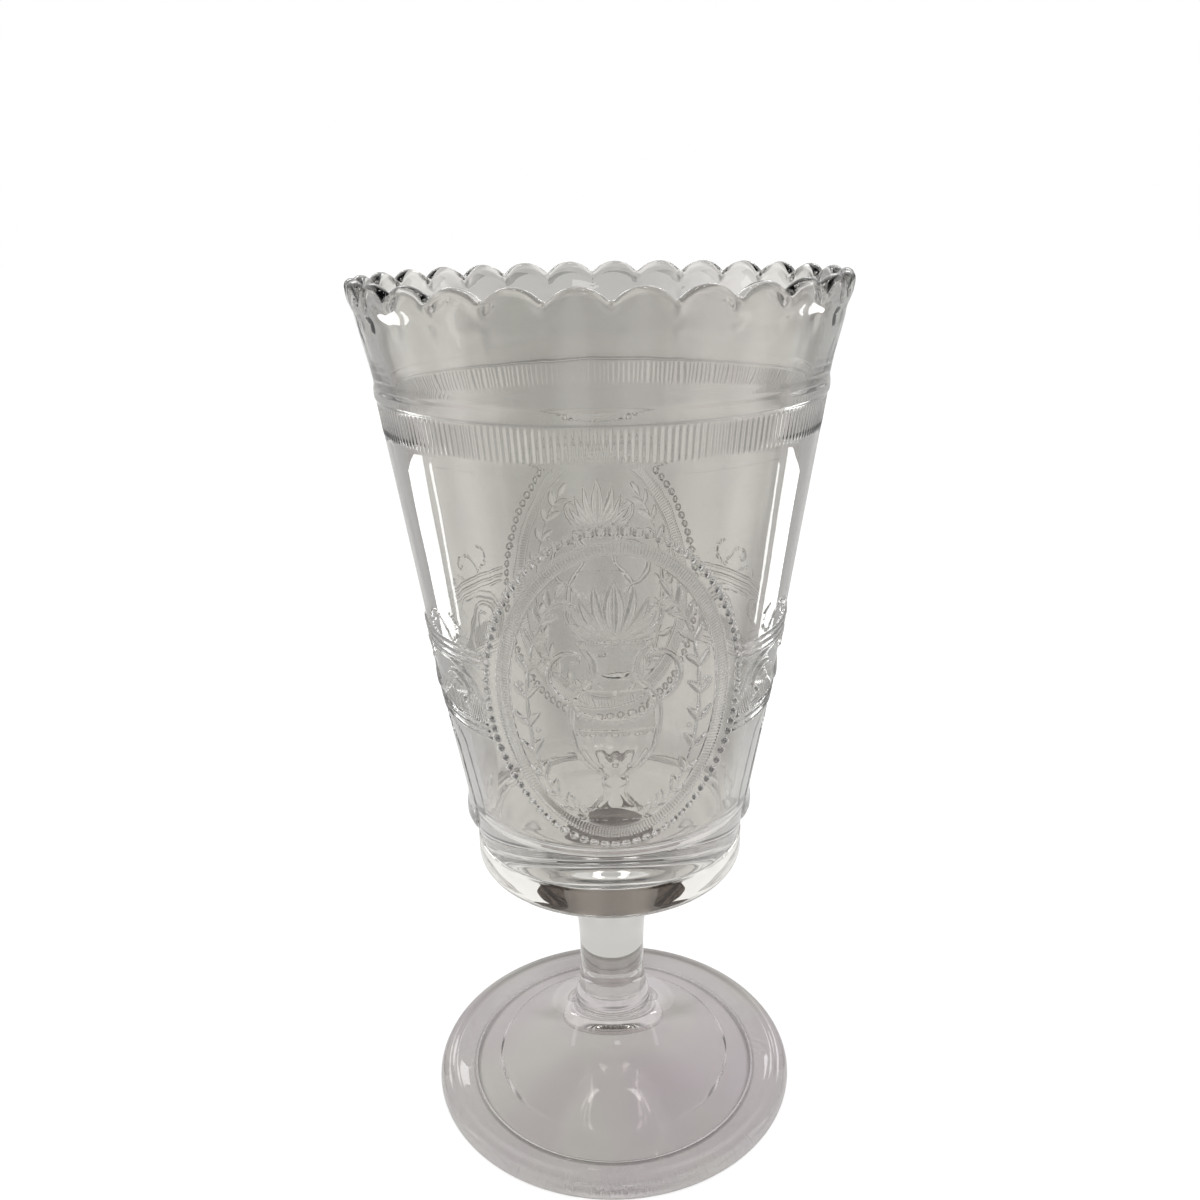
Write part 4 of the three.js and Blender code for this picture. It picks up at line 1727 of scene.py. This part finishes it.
    def _medallion_inside(self, skin: Skin, edge_turn: Array, edge_level: Array, middle: float) -> Array:
        """Draws the plain inside of the wall behind a medallion, ring in ring.

        Args:
            skin: The medallion's skin.
            edge_turn: The angles of the points along the window's edge.
            edge_level: Their heights.
            middle: The angle of the medallion's middle.

        Returns:
            The numbers of the points along the inside edge.
        """
        centre = (self.window_top + self.window_bottom) / 2
        inner_turn, inner_level = edge_turn[:: self.inner_share], edge_level[:: self.inner_share]
        rings = []
        for share in (*np.linspace(1, 0.9, 8), 0.86, 0.8, *np.linspace(0.72, 0.08, 9)):
            level = centre + (inner_level - centre) * share
            radius, slopes = self.inside(level)
            rings.append(skin.add(inner_turn * share + middle, radius, level, slopes))
        skin.quads(np.array(rings))
        radius, slopes = self.inside(np.array([centre]))
        spot = skin.add(np.array([middle]), radius, np.array([centre]), slopes)
        skin.fan(rings[-1], int(spot[0]))
        return rings[0]

    def _face_rows(self, skin: Skin, turn: Array, level: Array, middle: float) -> Array:
        """Adds outside points round a medallion's middle, with the relief on them."""
        radius, slopes = self.outside(turn, level)
        return skin.add(turn + middle, radius, level, slopes)

    def _finish(self, skin: Skin, name: str) -> bpy.types.Object:
        """Makes and places a piece of the bowl."""
        return place_piece(skin.object(name, BOWL_GLASS), "bowl")

    def build(self) -> list[bpy.types.Object]:
        """Builds the bowl's pieces.

        Returns:
            The pieces.
        """
        return [
            self.body(),
            self.collar(),
            self.medallion("bowl_front_medallion_glass", 0.0),
            self.medallion("bowl_back_medallion_glass", math.pi),
        ]


@dataclass(frozen=True)
class Lamp:
    """A soft rectangular lamp.

    Attributes:
        name: Its name.
        place: Where its middle is, in metres.
        target: What it points at.
        size: Its width and height in metres.
        glow: How bright its face is, 1 being white.
        reflected_only: Whether it shows only in reflections, and not through glass.
    """

    name: str
    place: tuple[float, float, float]
    target: tuple[float, float, float]
    size: tuple[float, float]
    glow: float
    reflected_only: bool = True

    def build(self) -> bpy.types.Object:
        """Makes the lamp, with the power that gives its face its glow.

        Returns:
            The lamp.
        """
        light = bpy.data.lights.new(self.name, "AREA")
        light.shape = "RECTANGLE"
        light.size, light.size_y = self.size
        light.energy = self.glow * math.pi * self.size[0] * self.size[1]
        lamp = bpy.data.objects.new(self.name, light)
        lamp.location = self.place
        aim = (Vector(self.target) - Vector(self.place)).to_track_quat("-Z", "Y")
        lamp.rotation_euler = aim.to_matrix().to_euler()
        lamp.visible_camera = False
        lamp.visible_transmission = not self.reflected_only
        bpy.context.scene.collection.objects.link(lamp)
        return lamp


@dataclass(frozen=True)
class Card:
    """A bright card that lies on the table beside the vase and is mirrored in its wall as an upright stripe.

    Attributes:
        name: Its name.
        turns: Between which angles it lies, in degrees, 0 in front and growing to the right.
        reach: How far from the vase it starts and ends, in metres.
        height: How high over the table it lies, in metres.
        glow: How bright it is, 1 being white.
    """

    name: str
    turns: tuple[float, float]
    reach: tuple[float, float]
    height: float = 0.003
    glow: float = 7.0

    def build(self) -> bpy.types.Object:
        """Lays the card, which only reflections show.

        Returns:
            The card.
        """
        near, far = self.reach
        steps = [math.radians(turn) for turn in np.linspace(*self.turns, 7)]
        corners = [(far, turn) for turn in steps] + [(near, turn) for turn in reversed(steps)]
        points = [(reach * math.sin(turn), -reach * math.cos(turn), self.height) for reach, turn in corners]
        mesh = bpy.data.meshes.new(self.name)
        mesh.from_pydata(points, [], [range(len(points))])
        values = {"Base Color": linear("000000"), "Emission Color": linear("ffffff")}
        material, _ = new_material("glowing_white_card", {**values, "Emission Strength": self.glow})
        mesh.materials.append(material)
        card = bpy.data.objects.new(self.name, mesh)
        bpy.context.scene.collection.objects.link(card)
        card.visible_camera = False
        card.visible_transmission = False
        card.visible_diffuse = False
        card.visible_shadow = False
        return card


@dataclass
class Studio:
    """The pale floor, the soft light and the camera.

    Glass shows only what stands round it. Screens and flags stand on all four sides, the flags end a
    little above the table, and the ceiling is dark. The camera itself sees plain white all round.

    Attributes:
        lens: The camera's focal length in millimetres.
        sensor_width: How wide its sensor is, in millimetres.
        look_down: How far the camera is tipped down, in degrees.
        roll: How far it leans to one side, in degrees.
        turn: How far it stands to the left, in degrees.
        eye: Where it stands before that turn, in metres.
        floor_size: How broad the floor is, in metres.
        floor_white: How bright the floor is where a ray sees it.
        room_light: How strongly the room lights matt surfaces.
        screens: How many screens there are, with a flag between each two.
        screen_white: How bright the screens are.
        flag_dim: How bright the flags are.
        middle_dim: How much dimmer a screen is in its middle.
        flag_edge: Where a flag turns to a screen, from -1 in a flag's middle to 1 in a screen's.
        middle_edge: Where a screen's dimmer middle starts and is full, in the same measure.
        flag_top: The heights between which the flags end, as parts of a direction one long.
        ceiling_edge: The heights between which the ceiling darkens.
        ceiling_dim: How bright the ceiling is.
        near_floor: How bright the floor is close to the vase.
        near_floor_edge: The distances in metres between which screens and flags begin on the floor.
        contact_shade: How bright the floor is where the foot rests on it.
        foot_edges: Radius and width in millimetres of the shades round the foot's edges.
        bounces: How many surfaces a ray may pass or meet.
        lamps: The lamps.
        cards: The cards.
    """

    lens: float = 34.04
    sensor_width: float = 36.0
    look_down: float = 18.92
    roll: float = 1.15
    turn: float = -1.8
    eye: tuple[float, float, float] = (-0.0013, -0.2541, 0.2222)
    floor_size: float = 12.0
    floor_white: float = 0.8
    room_light: float = 0.45
    screens: int = 4
    screen_white: float = 0.9
    flag_dim: float = 0.2
    middle_dim: float = 0.5
    flag_edge: tuple[float, float] = (-0.35, 0.35)
    middle_edge: tuple[float, float] = (0.74, 1.0)
    flag_top: tuple[float, float] = (0.1, 0.25)
    ceiling_edge: tuple[float, float] = (0.64, 0.93)
    ceiling_dim: float = 0.08
    near_floor: float = 0.7
    near_floor_edge: tuple[float, float] = (0.08, 0.25)
    contact_shade: float = 0.35
    foot_edges: tuple[tuple[float, float], ...] = ((36.4, 1.2), (47.6, 2.6))
    bounces: int = 32
    lamps: tuple[Lamp, ...] = (
        Lamp("left_softbox", (-1.2, 0.1, 0.7), (0, 0, 0.12), (0.14, 0.7), 1.8),
        Lamp("right_softbox", (1.2, 0.1, 0.7), (0, 0, 0.12), (0.14, 0.7), 1.8),
        Lamp("front_lamp", (0.12, -0.9, 0.95), (0, 0, 0.1), (0.22, 0.16), 3.5),
        Lamp("left_overhead", (-0.16, 0.16, 1.3), (0, 0, 0.1), (0.15, 0.1), 7.0, reflected_only=False),
        Lamp("right_overhead", (0.16, 0.16, 1.3), (0, 0, 0.1), (0.15, 0.1), 7.0, reflected_only=False),
        Lamp("left_high_softbox", (-0.45, 1.1, 0.95), (0, 0, 0.2), (0.45, 0.16), 5.0),
        Lamp("right_high_softbox", (0.45, 1.1, 0.95), (0, 0, 0.2), (0.45, 0.16), 5.0),
    )
    cards: tuple[Card, ...] = (
        Card("left_white_card", (-124, -106), (0.26, 0.53)),
        Card("left_narrow_card", (-101, -98.5), (0.27, 0.47)),
        Card("right_white_card", (106, 124), (0.26, 0.53)),
        Card("right_narrow_card", (98.5, 101), (0.27, 0.47)),
    )

    def white_rays(self, tree: bpy.types.NodeTree) -> bpy.types.NodeSocket:
        """Gives 1 for rays that see the surroundings from the camera, in a reflection or through glass.

        Args:
            tree: The node tree.

        Returns:
            The share.
        """
        path = add_node(tree, "LightPath").outputs
        seen = add_node(tree, "Math", LARGER, {0: path["Is Camera Ray"], 1: path["Is Glossy Ray"]})
        white = add_node(tree, "Math", LARGER, {0: seen.outputs[0], 1: path["Is Transmission Ray"]})
        return white.outputs[0]

    def round_light(self, tree: bpy.types.NodeTree, place: bpy.types.NodeSocket) -> bpy.types.NodeSocket:
        """Gives how bright the surroundings are round the vase.

        On each of the four sides there is a broad white screen, a little dimmer in its middle, and there
        is a soft dark flag between each two of them, as is usual where glass is to show its edges.

        Args:
            tree: The node tree.
            place: The place or direction that is seen.

        Returns:
            The brightness.
        """
        parts = add_node(tree, "SeparateXYZ", inputs={0: place}).outputs
        turn = add_node(tree, "Math", {"operation": "ARCTAN2"}, {0: parts["Y"], 1: parts["X"]})
        quarters = add_node(tree, "Math", MULTIPLY, {0: turn.outputs[0], 1: float(self.screens)})
        wave = add_node(tree, "Math", {"operation": "COSINE"}, {0: quarters.outputs[0]}).outputs[0]
        start, end = self.flag_edge
        low, high = self.flag_dim, self.screen_white
        flags = add_node(
            tree,
            "MapRange",
            SMOOTH,
            {"Value": wave, "From Min": start, "From Max": end, "To Min": low, "To Max": high},
        )
        start, end = self.middle_edge
        middle = add_node(
            tree,
            "MapRange",
            SMOOTH,
            {"Value": wave, "From Min": start, "From Max": end, "To Min": 1.0, "To Max": self.middle_dim},
        )
        both = {0: flags.outputs["Result"], 1: middle.outputs["Result"]}
        return add_node(tree, "Math", MULTIPLY, both).outputs[0]

    def contact(
        self, tree: bpy.types.NodeTree, distance: bpy.types.NodeSocket, radius: float, width: float
    ) -> bpy.types.NodeSocket:
        """Gives the thin shade on the floor where an edge of the foot rests on it.

        Args:
            tree: The floor's node tree.
            distance: The distance from the vase's axis.
            radius: The edge's radius in millimetres.
            width: How far the shade reaches, in millimetres.

        Returns:
            1 away from the edge, less at it.
        """
        off = add_node(tree, "Math", {"operation": "SUBTRACT"}, {0: distance, 1: radius * MM})
        gap = add_node(tree, "Math", {"operation": "ABSOLUTE"}, {0: off.outputs[0]}).outputs[0]
        shade = {"From Min": 0.0, "From Max": width * MM, "To Min": self.contact_shade, "To Max": 1.0}
        return add_node(tree, "MapRange", SMOOTH, {"Value": gap, **shade}).outputs["Result"]

    def floor(self) -> bpy.types.Object:
        """Lays the pale floor, which keeps the vase's shadow.

        Returns:
            The floor.
        """
        bpy.ops.object.select_all(action="DESELECT")
        bpy.ops.mesh.primitive_plane_add(size=self.floor_size)
        floor = bpy.context.object
        floor.name = "studio_floor"
        values = {"Base Color": linear("cccccc"), "Roughness": 0.9, "Emission Color": linear("ffffff")}
        material, shader = new_material("matt_white_paper", values)
        tree = material.node_tree
        place = add_node(tree, "TexCoord").outputs["Object"]
        distance = add_node(tree, "VectorMath", {"operation": "LENGTH"}, {0: place}).outputs["Value"]
        start, end = self.near_floor_edge
        away = add_node(tree, "MapRange", inputs={"Value": distance, "From Min": start, "From Max": end})
        shaded = add_node(
            tree,
            "Mix",
            {"data_type": "FLOAT"},
            {"Factor": away.outputs["Result"], "A": self.near_floor, "B": self.round_light(tree, place)},
        ).outputs["Result"]
        camera = add_node(tree, "LightPath").outputs["Is Camera Ray"]
        for radius, width in self.foot_edges:
            edge = self.contact(tree, distance, radius, width)
            shaded = add_node(tree, "Math", MULTIPLY, {0: shaded, 1: edge}).outputs[0]
        bright = add_node(tree, "Math", LARGER, {0: camera, 1: shaded}).outputs[0]
        white = add_node(tree, "Math", MULTIPLY, {0: self.white_rays(tree), 1: bright}).outputs[0]
        glow = add_node(tree, "Math", MULTIPLY, {0: white, 1: self.floor_white}).outputs[0]
        tree.links.new(glow, shader.inputs["Emission Strength"])
        floor.data.materials.append(material)
        return floor

    def room(self) -> None:
        """Lights the room: screens and flags low down, white all round above them, darker overhead."""
        world = bpy.data.worlds.new("studio_room")
        bpy.context.scene.world = world
        world.use_nodes = True
        tree = world.node_tree
        background = tree.nodes["Background"]
        background.inputs["Color"].default_value = linear("ffffff")
        direction = add_node(tree, "TexCoord").outputs["Generated"]
        up = add_node(tree, "SeparateXYZ", inputs={0: direction}).outputs["Z"]
        start, end = self.ceiling_edge
        ceiling = add_node(
            tree,
            "MapRange",
            SMOOTH,
            {"Value": up, "From Min": start, "From Max": end, "To Min": 1.0, "To Max": self.ceiling_dim},
        )
        start, end = self.flag_top
        over = add_node(tree, "MapRange", inputs={"Value": up, "From Min": start, "From Max": end})
        low = self.round_light(tree, direction)
        around = add_node(tree, "Math", LARGER, {0: over.outputs["Result"], 1: low})
        seen = add_node(tree, "Math", MULTIPLY, {0: ceiling.outputs["Result"], 1: around.outputs[0]})
        camera = add_node(tree, "LightPath").outputs["Is Camera Ray"]
        white = add_node(tree, "Math", LARGER, {0: camera, 1: seen.outputs[0]})
        strength = add_node(
            tree,
            "Mix",
            {"data_type": "FLOAT"},
            {"Factor": self.white_rays(tree), "A": self.room_light, "B": white.outputs[0]},
        )
        tree.links.new(strength.outputs["Result"], background.inputs["Strength"])

    def camera(self) -> bpy.types.Object:
        """Sets the camera where the photograph was taken from.

        Returns:
            The camera.
        """
        data = bpy.data.cameras.new("camera")
        data.lens = self.lens
        data.sensor_width = self.sensor_width
        camera = bpy.data.objects.new("camera", data)
        bpy.context.scene.collection.objects.link(camera)
        swing = Matrix.Rotation(math.radians(self.turn), 4, "Z")
        tilt = Matrix.Rotation(math.radians(90 - self.look_down), 4, "X")
        level = Matrix.Rotation(math.radians(-self.roll), 4, "Z")
        camera.matrix_world = Matrix.Translation(swing @ Vector(self.eye)) @ swing @ tilt @ level
        bpy.context.scene.camera = camera
        return camera

    def build(self) -> None:
        """Builds the studio, and lets light pass through as many walls of glass as there are."""
        self.camera()
        self.floor()
        self.room()
        for light in (*self.lamps, *self.cards):
            light.build()
        scene = bpy.context.scene
        scene.view_settings.view_transform = "Standard"
        scene.cycles.max_bounces = self.bounces
        scene.cycles.transmission_bounces = self.bounces
        scene.cycles.glossy_bounces = self.bounces // 2
        scene.cycles.transparent_max_bounces = self.bounces


def main() -> None:
    """Builds the studio and the vase, from the foot up."""
    logging.basicConfig(level=logging.INFO, format="%(name)s: %(message)s")
    Studio().build()
    Foot().build()
    JoiningWafer().build()
    Stem().build()
    Bowl().build()


if __name__ == "__main__":
    main()
